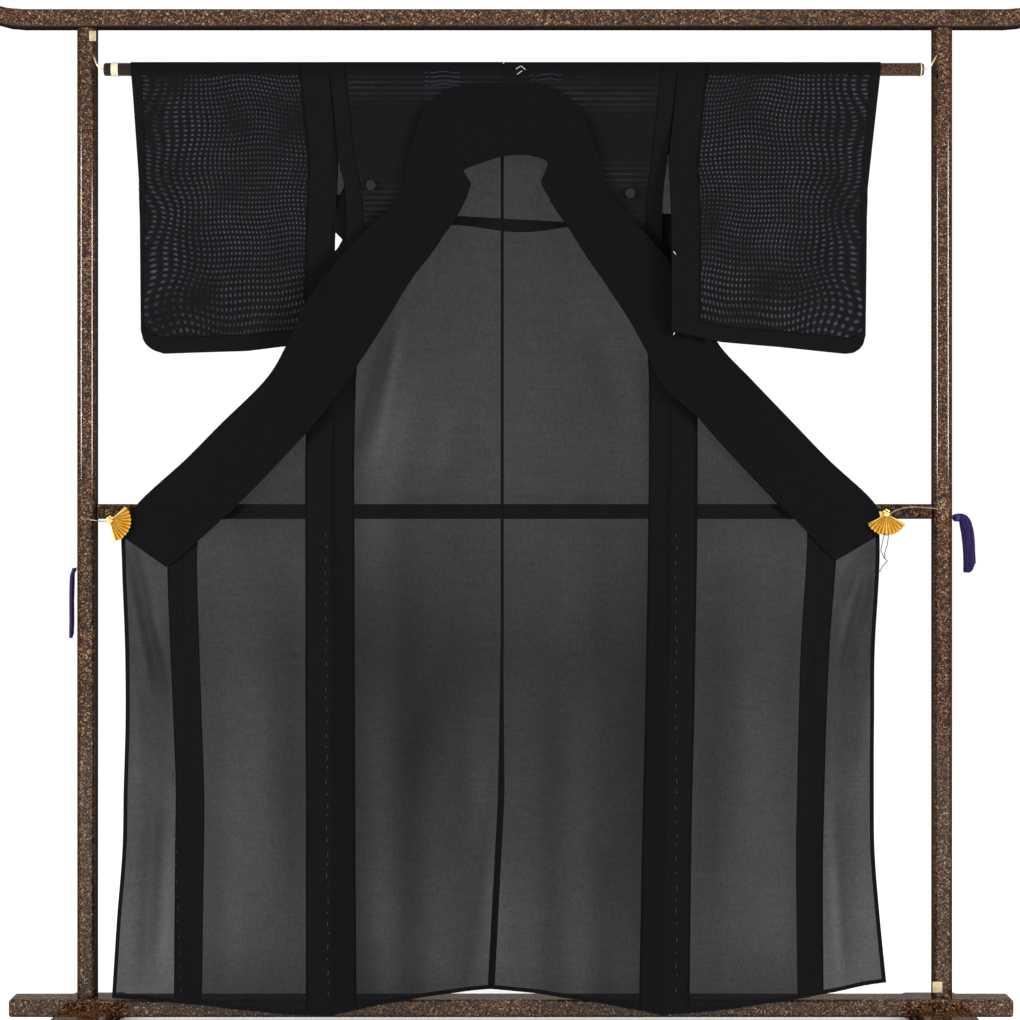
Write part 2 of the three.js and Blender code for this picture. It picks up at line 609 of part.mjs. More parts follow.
// A tassel: strands rooted in a bound head that hangs by a cord from a post's outer side
function tassel(name) {
  const { x, z, long, spread } = TASSELS[name];
  const side = name === 'left' ? LEFT : RIGHT;
  const { headRadius, headHigh, strands, strandRadius } = TASSEL;
  const squeeze = spread / 9;
  const head = new THREE.LatheGeometry([[0, 0], [headRadius * 0.9, 1], [headRadius * 0.8, 9],
    [headRadius * 0.5, 12], [headRadius, 17], [headRadius * 0.6, 22], [0, headHigh]]
    .map(([r, h]) => new THREE.Vector2(r * Math.sqrt(squeeze), h)), 10);
  head.rotateX(Math.PI / 2);
  head.translate(x, 0, z - headHigh);
  const pieces = [head];
  for (let i = 0; i < strands; i += 1) {
    const turn = i * 2.39996;
    const share = Math.sqrt((i + 0.5) / strands);
    const root = share * (headRadius - 2) * Math.sqrt(squeeze);
    const tip = share * spread;
    const [c, s] = [Math.cos(turn), Math.sin(turn)];
    const low = z - long + (i % 4) * 2;
    pieces.push(tube([[x + c * root, s * root, z - headHigh + 3],
      [x + c * tip, s * tip, z - mix(headHigh, long, 0.5)],
      [x + c * tip * 1.05, s * tip * 1.05, low]], strandRadius, 3, 2));
  }
  const postFace = side * (POST.x + POST.width / 2 + 2 * SEAM_GAP);
  pieces.push(tube([[x, 0, z - 1], [mix(x, postFace, 0.5), 0, z + 7], [mix(x, postFace, 0.9), 0, z + 9], [postFace, 0, z + 9]],
    1.3, 6, 4));
  return join(...pieces);
}

function fitting(width, high) {
  return new THREE.BoxGeometry(width, 2, high);
}

const MATERIALS = {
  cloth: new THREE.MeshStandardMaterial({ color: 0x1a1a1e, roughness: 0.8, metalness: 0 }),
  lacquer: new THREE.MeshStandardMaterial({ color: 0x4a3323, roughness: 0.25, metalness: 0 }),
  brass: new THREE.MeshStandardMaterial({ color: 0xc9a24a, roughness: 0.35, metalness: 1 }),
  gold: new THREE.MeshStandardMaterial({ color: 0xe0b040, roughness: 0.3, metalness: 1 }),
  wire: new THREE.MeshStandardMaterial({ color: 0x8a8378, roughness: 0.4, metalness: 1 }),
  silk: new THREE.MeshStandardMaterial({ color: 0x3b2a6a, roughness: 0.7, metalness: 0 }),
};

const kimono = new THREE.Group();
function add(name, geometry, material, position = [0, 0, 0]) {
  const mesh = new THREE.Mesh(geometry, material.clone());
  mesh.name = name;
  mesh.position.set(...position);
  kimono.add(mesh);
}

for (const { name } of SIDES) {
  add(`body_${name}`, bodyPanel(name), MATERIALS.cloth);
  add(`overlap_${name}`, overlapPanel(name), MATERIALS.cloth);
  add(`sleeve_${name}`, sleeveGeometry(name), MATERIALS.cloth);
}
add('collar', collarGeometry(), MATERIALS.cloth);

const postLength = TOP_BAR.low - RAIL.high - 2 * SEAM_GAP;
for (const { name, side } of SIDES) {
  add(`post_${name}`, roundedBar(POST.width, POST.width, POST.round, postLength),
    MATERIALS.lacquer, [side * POST.x, 0, RAIL.high + SEAM_GAP]);
  add(`foot_${name}`, foot(), MATERIALS.lacquer, [side * POST.x, 0, 0]);
}
add('top_bar', topBar(), MATERIALS.lacquer);
add('base_rail', baseRail(), MATERIALS.lacquer);
const crossLength = 2 * (POST.x - POST.width / 2 - SEAM_GAP);
const crossBar = roundedBar(CROSS_BAR.high - CROSS_BAR.low, CROSS_BAR.depth, 4, crossLength);
crossBar.translate(0, 0, -crossLength / 2);
crossBar.rotateY(Math.PI / 2);
add('cross_bar', crossBar, MATERIALS.lacquer, [0, 0, (CROSS_BAR.low + CROSS_BAR.high) / 2]);
add('rod', rod(), MATERIALS.lacquer);
for (const { name } of SIDES) {
  add(`rod_hanger_${name}`, tube(ROD_HANGERS[name], 1.4), MATERIALS.brass);
  add(`clip_${name}`, clip(name), MATERIALS.gold);
  add(`clip_wire_${name}`, tube(CLIP_WIRES[name], WIRE_RADIUS), MATERIALS.wire);
  add(`tassel_${name}`, tassel(name), MATERIALS.silk);
}
const fittingY = -POST.width / 2 - 1 - SEAM_GAP;
add('top_fitting', fitting(11, 17), MATERIALS.brass, [-708, fittingY, 1674]);
add('foot_fitting', fitting(16, 18), MATERIALS.brass, [709, fittingY, 79]);

export default kimono;
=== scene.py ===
# A sheer black summer kimono hung open on its speckled lacquer rack.
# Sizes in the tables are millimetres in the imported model's frame; meshes are in metres.
from math import copysign, cos, exp, hypot, pi, radians, sin, sqrt, tau

import bmesh
import bpy
import numpy as np
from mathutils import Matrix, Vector


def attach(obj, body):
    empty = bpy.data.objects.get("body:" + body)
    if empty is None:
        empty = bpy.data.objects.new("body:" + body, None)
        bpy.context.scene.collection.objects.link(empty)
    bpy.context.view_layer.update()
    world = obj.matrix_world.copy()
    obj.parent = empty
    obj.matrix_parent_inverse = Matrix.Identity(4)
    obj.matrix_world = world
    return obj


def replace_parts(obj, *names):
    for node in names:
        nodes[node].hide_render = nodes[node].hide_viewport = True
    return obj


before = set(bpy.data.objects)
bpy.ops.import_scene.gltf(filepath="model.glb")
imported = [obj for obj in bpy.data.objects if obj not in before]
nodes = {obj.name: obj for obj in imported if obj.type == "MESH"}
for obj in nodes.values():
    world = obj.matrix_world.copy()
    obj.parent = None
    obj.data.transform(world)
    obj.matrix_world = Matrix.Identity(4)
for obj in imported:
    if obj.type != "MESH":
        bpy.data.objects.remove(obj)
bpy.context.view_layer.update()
MM = 0.001

# Camera: level, square to the rack, so that a pixel at the posts is PIXEL_MM
PICTURE = 1020
PIXEL_MM = 1.684
EYE = {"x": -7.9, "away": 4600, "z": 879}
SENSOR = 36.0


def new_object(name, data):
    made = bpy.data.objects.new(name, data)
    bpy.context.scene.collection.objects.link(made)
    return made


def make_camera():
    data = bpy.data.cameras.new("camera")
    data.sensor_width = SENSOR
    data.lens = SENSOR * EYE["away"] / (PICTURE * PIXEL_MM)
    data.clip_end = 60
    camera = new_object("camera", data)
    camera.location = (EYE["x"] * MM, -EYE["away"] * MM, EYE["z"] * MM)
    camera.rotation_euler = (radians(90), 0, 0)
    bpy.context.scene.camera = camera


make_camera()

# Rack and rod sizes, as in the model
ROD = {"y": -36, "z": 1615, "radius": 11, "left": -686, "right": 683}
HANG = ROD["radius"] + 1.6
SEAM_GAP = 0.3

# The side seam by height, left and right, with its depth
SIDE_SEAM = dict(
    z=[1640, 1463, 1404, 1330, 1263, 1213, 1154, 1096, 962, 785, 530, 311, 40],
    left=[-313, -295, -283, -283, -290, -295, -298, -303, -305, -303, -301, -299, -296],
    right=[275, 256, 249, 247, 251, 254, 259, 262, 261, 258, 252, 246, 240],
    y=[-36, -36.5, -37, -37.5, -38, -40, -44, -51, -70, -97, -130, -156, -181],
)
ARMHOLE = dict(z=[1640, 1600, 1463, 1330, 1263, 40], half=[HANG, HANG, 8.5, 3, 0.8, 0.8])
CENTRE_SEAM = dict(
    z=[1640, 1404, 660, 393, 60], x=[-21, -21, -21, -25, -43], y=[-23.4, -22, -21, -23, -27]
)
HEM = {"centre": 77, "side": 60}
BACK_TOP = 1600
SHOULDER_ANGLES = [180, 150, 120, 90, 60, 30, 0]

# Fronts from the shoulder down: heights at the side and at the edge, front edge and its depth,
# fold behind the collar, hidden tuck and panel seam; a zero means the line isn't there
FRONT = {
    "left": [
        (1592, 1590, -21, -50, 0, 0, 0), (1562, 1570, -121, -50, 0, 0, 0),
        (1530, 1540, -150, -50, -118, 0, 0), (1463, 1463, -178, -50, -95, 0, 0),
        (1404, 1404, -191, -52, -90, 0, 0), (1330, 1330, -262, -56, -123, 0, 0),
        (1263, 1263, -320, -60, -173, 0, 0), (1213, 1213, -352, -60, -203, 0, -351),
        (1154, 1154, -379, -60, -239, -340, -354), (1096, 1096, -414, -59, -278, -370, -376),
        (1021, 1021, -490, -56, -333, -400, -424), (962, 962, -549, -52, -389, -439, -474),
        (882, 882, -635, -46, -466, -490, -539), (846, 846, -655, -44, 0, 0, -549),
        (785, 785, -655, -44, 0, 0, -552), (649, 649, -650, -43, 0, 0, -547),
        (530, 530, -649, -43, 0, 0, -542), (412, 412, -652, -44, 0, 0, -537),
        (311, 311, -654, -45, 0, 0, -537), (190, 195, -663, -47, 0, 0, -538),
        (60, 66, -671, -50, 0, 0, -539),
    ],
    "right": [
        (1592, 1590, -21, -50, 0, 0, 0), (1562, 1570, 78, -50, 0, 0, 0),
        (1530, 1540, 107, -50, 79, 0, 0), (1463, 1463, 142, -50, 59, 0, 0),
        (1404, 1404, 158, -50, 55, 0, 0), (1330, 1330, 226, -48, 104, 0, 0),
        (1263, 1263, 283, -46, 147, 0, 0), (1213, 1213, 313, -46, 180, 0, 312),
        (1154, 1154, 341, -46, 217, 308, 320), (1096, 1096, 395, -46, 255, 335, 356),
        (1021, 1021, 467, -46, 314, 366, 401), (962, 962, 524, -46, 367, 402, 448),
        (882, 882, 604, -45, 442, 462, 505), (846, 846, 608, -44, 0, 0, 510),
        (785, 785, 608, -44, 0, 0, 508), (649, 649, 600, -43, 0, 0, 498),
        (530, 530, 599, -43, 0, 0, 493), (412, 412, 599, -43, 0, 0, 489),
        (311, 311, 600, -44, 0, 0, 486), (190, 205, 608, -45, 0, 0, 486),
        (62, 92, 619, -46, 0, 0, 487),
    ],
}
LAYER_GAP = 5
FADE_WIDTH = 20
SEAM_RISE = 0.35
OVERLAP_TOP = 1200

# Collar from the left end round the neck to the right end: sewn edge, then free edge
COLLAR = [
    (-650, 832, -580, 784), (-633, 884, -545, 811), (-549, 962, -466, 882),
    (-490, 1021, -411, 936), (-414, 1096, -333, 1021), (-379, 1154, -283, 1088),
    (-352, 1213, -244, 1146), (-320, 1263, -207, 1208), (-262, 1330, -151, 1293),
    (-191, 1404, -99, 1363), (-178, 1463, -74, 1416), (-155, 1538, -79, 1433),
    (-131, 1567, -84, 1445), (-82, 1588, -51, 1458), (-21, 1590, -18, 1468),
    (46, 1586, 22, 1469), (88, 1567, 53, 1459), (113, 1538, 50, 1441), (141, 1463, 45, 1420),
    (158, 1404, 71, 1379), (226, 1330, 121, 1298), (283, 1263, 175, 1222),
    (313, 1213, 217, 1146), (341, 1154, 248, 1083), (395, 1096, 303, 1033),
    (467, 1021, 384, 946), (524, 962, 447, 882), (602, 887, 514, 814), (606, 836, 535, 795),
]
COLLAR_LIFT = 3.2
COLLAR_PUFF = 2.5

SLEEVE = {
    "left": dict(
        inner=dict(z=[1463, 1331, 1160], x=[-295, -301, -303]),
        outer=dict(z=[1640, 1564, 1430, 1100], x=[-642, -636, -627, -624]),
        lower=dict(at=[0, 0.25, 0.45, 0.88, 0.93, 0.96, 0.98, 0.992, 1],
                   z=[1160, 1153, 1145, 1140, 1145, 1151, 1158, 1166, 1179]),
        swing_inner=14, swing_outer=-2,
    ),
    "right": dict(
        inner=dict(z=[1463, 1370, 1176], x=[256, 260, 260]),
        outer=dict(z=[1640, 1602, 1413, 1100], x=[612, 609, 588, 584]),
        lower=dict(at=[0, 0.25, 0.55, 0.90, 0.94, 0.97, 0.985, 0.995, 1],
                   z=[1176, 1158, 1150, 1139, 1141, 1147, 1153, 1160, 1170]),
        swing_inner=-33, swing_outer=-10,
    ),
}
SLEEVE_HALF = dict(z=[1640, 1600, 1463, 1300, 1190], half=[HANG, HANG, 8.5, 7, 5])
SEWN_HALF = 1
CUFF_END = 1398
ARMHOLE_END = 1463
SIGN = {"left": -1, "right": 1}


def mix(a, b, t):
    return a + (b - a) * t


def smooth(t):
    t = min(1.0, max(0.0, t))
    return t * t * (3 - 2 * t)


def lookup(table, z, column, key="z"):
    keys, values = table[key], table[column]
    if keys[0] > keys[-1]:
        keys, values = keys[::-1], values[::-1]
    return np.interp(z, keys, values)


def curve_through(rows, s):
    """Values between the rows of a table at place s, on a smooth curve through them."""
    i = min(int(s), len(rows) - 2)
    t = s - i
    p0, p1 = rows[max(i - 1, 0)], rows[i]
    p2, p3 = rows[i + 1], rows[min(i + 2, len(rows) - 1)]
    t2, t3 = t * t, t * t * t
    return 0.5 * (2 * p1 + (p2 - p0) * t + (2 * p0 - 5 * p1 + 4 * p2 - p3) * t2
                  + (3 * p1 - p0 - 3 * p2 + p3) * t3)


def wave(x, z):
    growth = 5 * smooth((1250 - z) / 1100)
    return growth * sin(x / 21 + 0.6) * sin(x / 47 + z / 900)


def side_x(name, z):
    return lookup(SIDE_SEAM, z, name)


def over_rod(angle):
    a = radians(angle)
    return ROD["y"] - HANG * cos(a), ROD["z"] + HANG * sin(a)


# Below its last row with a fold, a front's fold and tuck lines keep their place
FOLD_END = {"z": 860, "left": (-492, -464), "right": (466, 440)}

# What a row of a front holds: every line's place, and how strongly each fold is laid; inner is
# the panel seam, or the front edge where there is none
KEYS = ["z", "edge_z", "edge", "depth", "side0", "inner", "fold", "tuck", "laid", "tucked",
        "side_y"]


def front_row(name, row):
    z, edge_z, edge, depth, fold, tuck, seam = row
    side0 = side_x(name, z)
    inner = seam or edge
    has_fold, has_tuck = bool(fold), bool(tuck)
    low = z < FOLD_END["z"]
    fold = fold or (FOLD_END[name][0] if low else mix(side0, inner, 0.75))
    tuck = tuck or (FOLD_END[name][1] if low else mix(side0, fold, 0.4 if has_fold else 0.53))
    overlap = abs(fold - (tuck if has_tuck else inner))
    laid = smooth(overlap / FADE_WIDTH) if has_fold else 0.0
    side_y = lookup(SIDE_SEAM, z, "y") - lookup(ARMHOLE, z, "half")
    return np.array([z, edge_z, edge, depth, side0, inner, fold, tuck, laid,
                     laid if has_tuck else 0.0, side_y], float)


ROWS = {name: [front_row(name, row) for row in FRONT[name]] for name in SIGN}


def row_at(name, s):
    row = dict(zip(KEYS, curve_through(ROWS[name], s)))
    for key in ("laid", "tucked"):
        row[key] = min(1.0, max(0.0, row[key]))
    row["name"], row["side"] = name, SIGN[name]
    return row


def row_at_height(name, z):
    rows = ROWS[name]
    low, high = 0.0, float(len(rows) - 1)
    for _ in range(26):
        middle = (low + high) / 2
        if row_at(name, middle)["z"] > z:
            low = middle
        else:
            high = middle
    return row_at(name, low)


# Creases: from one point to another, width, and depth away from the viewer
CREASES = {
    "back": [
        (-205, 1200, -262, 960, 12, 7), (-186, 1200, -236, 940, 16, -6),
        (-170, 1120, -240, 760, 34, -5), (-40, 420, -75, 80, 12, 6), (-62, 520, -20, 100, 18, -4),
        (60, 900, 110, 300, 60, -4), (-150, 800, -120, 200, 55, 4), (210, 1140, 236, 900, 14, 5),
        (-21, 905, 200, 886, 7, 3), (-190, 896, -21, 905, 7, 3), (170, 640, 190, 120, 40, 4),
        (-230, 600, -215, 130, 36, -4), (90, 700, 60, 380, 30, 3), (-110, 640, -150, 420, 26, 3),
        (-100, 1060, -130, 930, 20, -3), (120, 1180, 160, 1010, 24, 3),
    ],
    "left": [
        (-652, 832, -578, 550, 12, 5), (-640, 824, -604, 710, 10, 4),
        (-648, 800, -604, 560, 10, -4), (-626, 800, -583, 640, 11, -4),
        (-604, 640, -590, 420, 18, 4), (-634, 640, -628, 380, 14, -3),
        (-560, 760, -556, 420, 20, 3), (-440, 700, -460, 100, 50, -5),
        (-600, 420, -615, 90, 16, 5), (-570, 380, -590, 110, 18, -4),
        (-380, 820, -370, 250, 44, 5), (-420, 640, -400, 240, 22, -3),
        (-350, 500, -340, 120, 20, 3),
    ],
    "right": [
        (602, 832, 540, 730, 11, 5), (596, 800, 546, 600, 12, 5), (605, 780, 590, 480, 10, -4),
        (580, 796, 540, 650, 11, -4), (560, 640, 548, 420, 18, 4), (584, 620, 578, 380, 14, -3),
        (522, 770, 514, 430, 20, 3), (400, 700, 420, 100, 50, -5),
        (545, 420, 560, 110, 16, 5), (520, 380, 540, 110, 18, -4), (330, 830, 330, 260, 44, 5),
        (380, 640, 360, 240, 22, -3), (300, 500, 295, 120, 20, 3),
    ],
    "collar": [
        (-640, 850, -470, 940, 9, 4), (-630, 835, -500, 880, 8, -3), (-610, 820, -470, 862, 9, 3),
        (-500, 960, -400, 1050, 16, 3), (-430, 1000, -330, 1100, 14, -3),
        (-330, 1170, -250, 1260, 16, 3), (-270, 1190, -190, 1300, 12, -3),
        (596, 860, 440, 930, 9, 4), (586, 842, 470, 872, 8, -3), (570, 826, 450, 850, 9, 3),
        (460, 950, 370, 1040, 16, 3), (400, 990, 310, 1090, 14, -3),
        (300, 1160, 230, 1250, 16, 3), (240, 1180, 170, 1290, 12, -3),
        (-150, 1400, -120, 1520, 14, 3), (120, 1400, 90, 1520, 14, 3),
    ],
}


def creases(group, x, z):
    total = 0.0
    for x0, z0, x1, z1, width, depth in CREASES[group]:
        dx, dz = x1 - x0, z1 - z0
        length2 = dx * dx + dz * dz
        t = ((x - x0) * dx + (z - z0) * dz) / length2
        if t < -0.15 or t > 1.15:
            continue
        off = (x - x0 - t * dx) ** 2 + (z - z0 - t * dz) ** 2
        ends = smooth((t + 0.15) / 0.4) * smooth((1.15 - t) / 0.4)
        total += depth * ends * exp(-off / (width * width))
    return total


# How much painted shade darkens the see-through cloth in a trough, and painted light lightens it
# on a ridge, for each millimetre; how far from the side seam a front's ripples reach their full
# depth
CREASE_SHADE = 0.018


RIPPLE_FADE = 60


def outwards_from_seam(row, x):
    return (x - row["side0"]) * row["side"]


def front_ripple(row, x, z):
    out = outwards_from_seam(row, x)
    if out <= 0:
        return 0.0
    return (wave(x, row["z"]) + creases(row["name"], x, z)) * smooth(out / RIPPLE_FADE)


def front_facing(row, x, z):
    """How squarely the cloth of a front faces the viewer, folds left aside, times the painted
    shade of its creases.
    """
    across = (front_ripple(row, x + 2, z) - front_ripple(row, x - 2, z)) / 4
    down = (front_ripple(row, x, z + 4) - front_ripple(row, x, z - 4)) / 8
    share = smooth(outwards_from_seam(row, x) / RIPPLE_FADE)
    shade = exp(-CREASE_SHADE * creases(row["name"], x, z) * share)
    return shade / sqrt(1 + across * across + down * down)


def front_depth(row, x, z, layer):
    out = outwards_from_seam(row, x)
    edge_out = max(outwards_from_seam(row, row["edge"]), 40)
    near = row["side_y"] - LAYER_GAP * (row["laid"] + row["tucked"])
    top = near if out <= 0 else mix(near, row["depth"], smooth(out / edge_out))
    behind = LAYER_GAP * (row["laid"] * min(2 - layer, 1) + row["tucked"] * max(1 - layer, 0))
    return top + behind + front_ripple(row, x, z)


# How far a seam's two cloths lap, and how far apart they lie there; how round a fold is turned,
# and where the flat run beside it starts
LAP = 1.2
LAP_APART = 0.4
FOLD_RADIUS = 2.5
FOLD_CLEAR = 2.6


def front_stops(row):
    """Places across a front with the layer each lies on: two folds turned as half circles."""
    side0, tuck, fold = row["side0"], row["tuck"], row["fold"]
    end = row["inner"]
    inwards = copysign(1, tuck - side0)
    to_fold = copysign(1, fold - tuck)
    outwards = copysign(1, end - fold)
    stops = []

    def run(a, b, layer, cells):
        stops.extend((mix(a, b, k / cells), layer) for k in range(cells))

    def turn(at, before, after, laid, layer):
        for k in range(7):
            a = pi * k / 6
            flat = at + mix(-before, after, k / 6) * FOLD_RADIUS
            turned = at - before * FOLD_RADIUS * (1 - sin(a))
            stops.append((flat if laid < 0.5 else turned, layer + (1 - cos(a)) / 2))

    run(side0 - row["side"] * LAP, tuck - inwards * FOLD_RADIUS, 0, 7)
    turn(tuck, inwards, to_fold, row["tucked"], 0)
    run(tuck + to_fold * FOLD_CLEAR, fold - to_fold * FOLD_CLEAR, 1, 9)
    turn(fold, to_fold, outwards, row["laid"], 1)
    run(fold + outwards * FOLD_CLEAR, end, 2, 12)
    stops.append((end, 2))
    return stops


def front_points(row):
    stops = front_stops(row)
    start, end = row["side0"], stops[-1][0]
    has_seam = abs(row["inner"] - row["edge"]) > 2
    points = []
    for x, layer in stops:
        share = min(1.0, max(0.0, (x - start) / ((end - start) or 1)))
        z = mix(row["z"], row["edge_z"], share * (SEAM_RISE if has_seam else 1))
        points.append((x, front_depth(row, x, z, layer), z))
    return points


# How far the back's armhole edge reaches past the side seam's line, by height
ARMHOLE_REACH = dict(
    z=[1640, 1485, 1463, 1404, 1346, 1342, 1331, 1318, 1308, 1290, 1230, 1180],
    left=[0, 0, 3, 16, 19, 16, 5, 11, 18, 18, 10, 1],
    right=[0, 0, 6, 14, 17, 17, 17, 17, 17, 16, 9, 1],
)
# Upper and lower edge of the sewn waist tuck across the back
TUCK_ROWS = [1299 + 2 * k for k in range(43)]


def tuck_edges(x):
    return 1372 - 0.056 * (x + 100), 1350.5 + 6 * cos((x + 108) / 38)


def back_points(name, z_middle, cells):
    """Points across a back panel from the side seam to the centre seam."""
    side = SIGN[name]
    up = (z_middle - HEM["centre"]) / (BACK_TOP - HEM["centre"])
    points = []
    for c in range(cells + 1):
        t = 1 - c / cells
        z = mix(mix(HEM["centre"], HEM["side"], t), BACK_TOP, up)
        centre_x = lookup(CENTRE_SEAM, z, "x") - side * LAP / 2
        reach = max(LAP, lookup(ARMHOLE_REACH, z, name))
        x = mix(centre_x, side_x(name, z) + side * reach, t)
        edge_y = lookup(SIDE_SEAM, z, "y") + lookup(ARMHOLE, z, "half")
        ripple = (wave(x, z) + creases("back", x, z)) * sin(pi * t)
        lapped = side * LAP_APART * (1 - t) ** 8
        y = mix(lookup(CENTRE_SEAM, z, "y"), edge_y, t ** 1.7) + ripple + lapped
        points.append((x, y, z))
    return points


# Meshes
def add_mesh(name, vertices, faces, material, smooth_faces=True):
    mesh = bpy.data.meshes.new(name)
    mesh.from_pydata([tuple(c * MM for c in p) for p in vertices], [], faces)
    mesh.materials.append(material)
    mesh.polygons.foreach_set("use_smooth", [smooth_faces] * len(faces))
    mesh.update()
    return new_object(name, mesh)


def add_piece(name, vertices, faces, material, smooth_faces=True):
    piece = add_mesh(name, vertices, faces, material, smooth_faces)
    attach(piece, "root")
    return piece


def circle(x, z, radius, turns):
    """Places round a circle that faces the viewer."""
    angles = [tau * k / turns for k in range(turns)]
    return [(x + radius * cos(a), z + radius * sin(a)) for a in angles]


def grid_faces(rows, cols):
    corners = [r * cols + c for r in range(rows - 1) for c in range(cols - 1)]
    return [(a, a + 1, a + cols + 1, a + cols) for a in corners]


def ring_faces(start, turns, rings):
    """Faces between rings of points, each ring closed."""
    faces = []
    for first in range(start, start + (rings - 1) * turns, turns):
        for k in range(turns):
            a, b = first + k, first + (k + 1) % turns
            faces.append((a, a + turns, b + turns, b))
    return faces


def lengths(grid, axis):
    """Distances from the first row down each column (axis 0), or along each row (axis 1)."""
    steps = np.linalg.norm(np.diff(np.array(grid, float), axis=axis), axis=2)
    return np.insert(np.cumsum(steps, axis=axis), 0, 0.0, axis=axis)


def squareness(grid):
    """How squarely each point of a sheet faces the viewer, from 0 to 1."""
    g = np.array(grid, float)
    normal = np.cross(np.gradient(g, axis=0), np.gradient(g, axis=1))
    length = np.linalg.norm(normal, axis=2)
    return np.abs(normal[:, :, 1]) / np.maximum(length, 1e-9)


# Light that one layer of the gauze lets through, by height, and how each piece differs
THROUGH = dict(z=[60, 190, 300, 480, 640, 980, 1300, 1600],
               share=[1.5, 1.35, 1.1, 0.88, 0.74, 1.3, 1.06, 0.95])
ONE_LAYER = 0.036
FRONT_SHARE = dict(z=[60, 560, 810, 890, 1200], share=[0.62, 1.3, 1.3, 0.8, 0.8])
PIECE_SHARE = {"back": 1.0, "overlap": 1.58, "sleeve": 1.0, "collar": 0.1}
OBLIQUE = 3


def see_through(grid, kind, facing):
    heights = np.array(grid, float)[:, :, 2]
    share = lookup(THROUGH, heights, "share")
    return ONE_LAYER * PIECE_SHARE[kind] * share * facing ** OBLIQUE


# Materials
class Surface:
    """A new material, with short calls for the nodes that feed its shader."""

    def __init__(self, name, **sockets):
        self.material = bpy.data.materials.new(name)
        self.material.use_nodes = True
        self.tree = self.material.node_tree
        for key, value in sockets.items():
            self.set(key.replace("_", " "), value)

    def feed(self, socket, value):
        if isinstance(value, bpy.types.NodeSocket):
            self.tree.links.new(value, socket)
        else:
            socket.default_value = (*value, 1) if socket.type == "RGBA" else value

    def set(self, key, value):
        self.feed(self.tree.nodes["Principled BSDF"].inputs[key], value)

    def node(self, kind, inputs=None, **settings):
        made = self.tree.nodes.new("ShaderNode" + kind)
        for key, value in settings.items():
            setattr(made, key, value)
        for key, value in (inputs or {}).items():
            self.feed(made.inputs[key], value)
        return made

    def math(self, operation, a, b=0.0, clamp=False):
        made = self.node("Math", {0: a, 1: b}, operation=operation, use_clamp=clamp)
        return made.outputs[0]

    def times(self, a, b, clamp=False):
        return self.math("MULTIPLY", a, b, clamp)

    def minus(self, a, b, clamp=False):
        return self.math("SUBTRACT", a, b, clamp)

    def spread(self, value, low, high):
        """A 0 to 1 value carried to the range from low to high."""
        return self.math("ADD", self.times(value, high - low), low)

    def mix(self, share, a, b, blend="MIX"):
        made = self.node("Mix", {"Factor": share, "A": a, "B": b}, data_type="RGBA",
                         blend_type=blend)
        return made.outputs["Result"]

    def ramp(self, source, stops, steps=False):
        made = self.node("ValToRGB", {0: source})
        if steps:
            made.color_ramp.interpolation = "CONSTANT"
        elements = made.color_ramp.elements
        while len(elements) < len(stops):
            elements.new(0.5)
        for element, (at, colour) in zip(elements, stops):
            element.position = at
            element.color = (*colour, 1)
        return made.outputs[0]

    def attribute(self, name):
        return self.node("Attribute", attribute_name=name).outputs["Fac"]

    def place(self):
        return self.node("TexCoord").outputs["Object"]

    def noise(self, scale, detail=2.0, stretch=(1, 1, 1), roughness=0.5):
        mapping = self.node("Mapping", {"Vector": self.place(), "Scale": stretch})
        made = self.node("TexNoise", {"Vector": mapping.outputs[0], "Scale": scale,
                                      "Detail": detail, "Roughness": roughness})
        return made.outputs[0]


CLOTH_COLOUR = (0.0031, 0.0031, 0.0039)
RIM_COLOUR = (0.0018, 0.0018, 0.0023)
MOIRE_COLOUR = (0.0325, 0.0325, 0.036)
# A band's rim begins at this share of its width; how sharp the moire's dots are
RIM_START = 0.9
DOT_POWER = 2.3


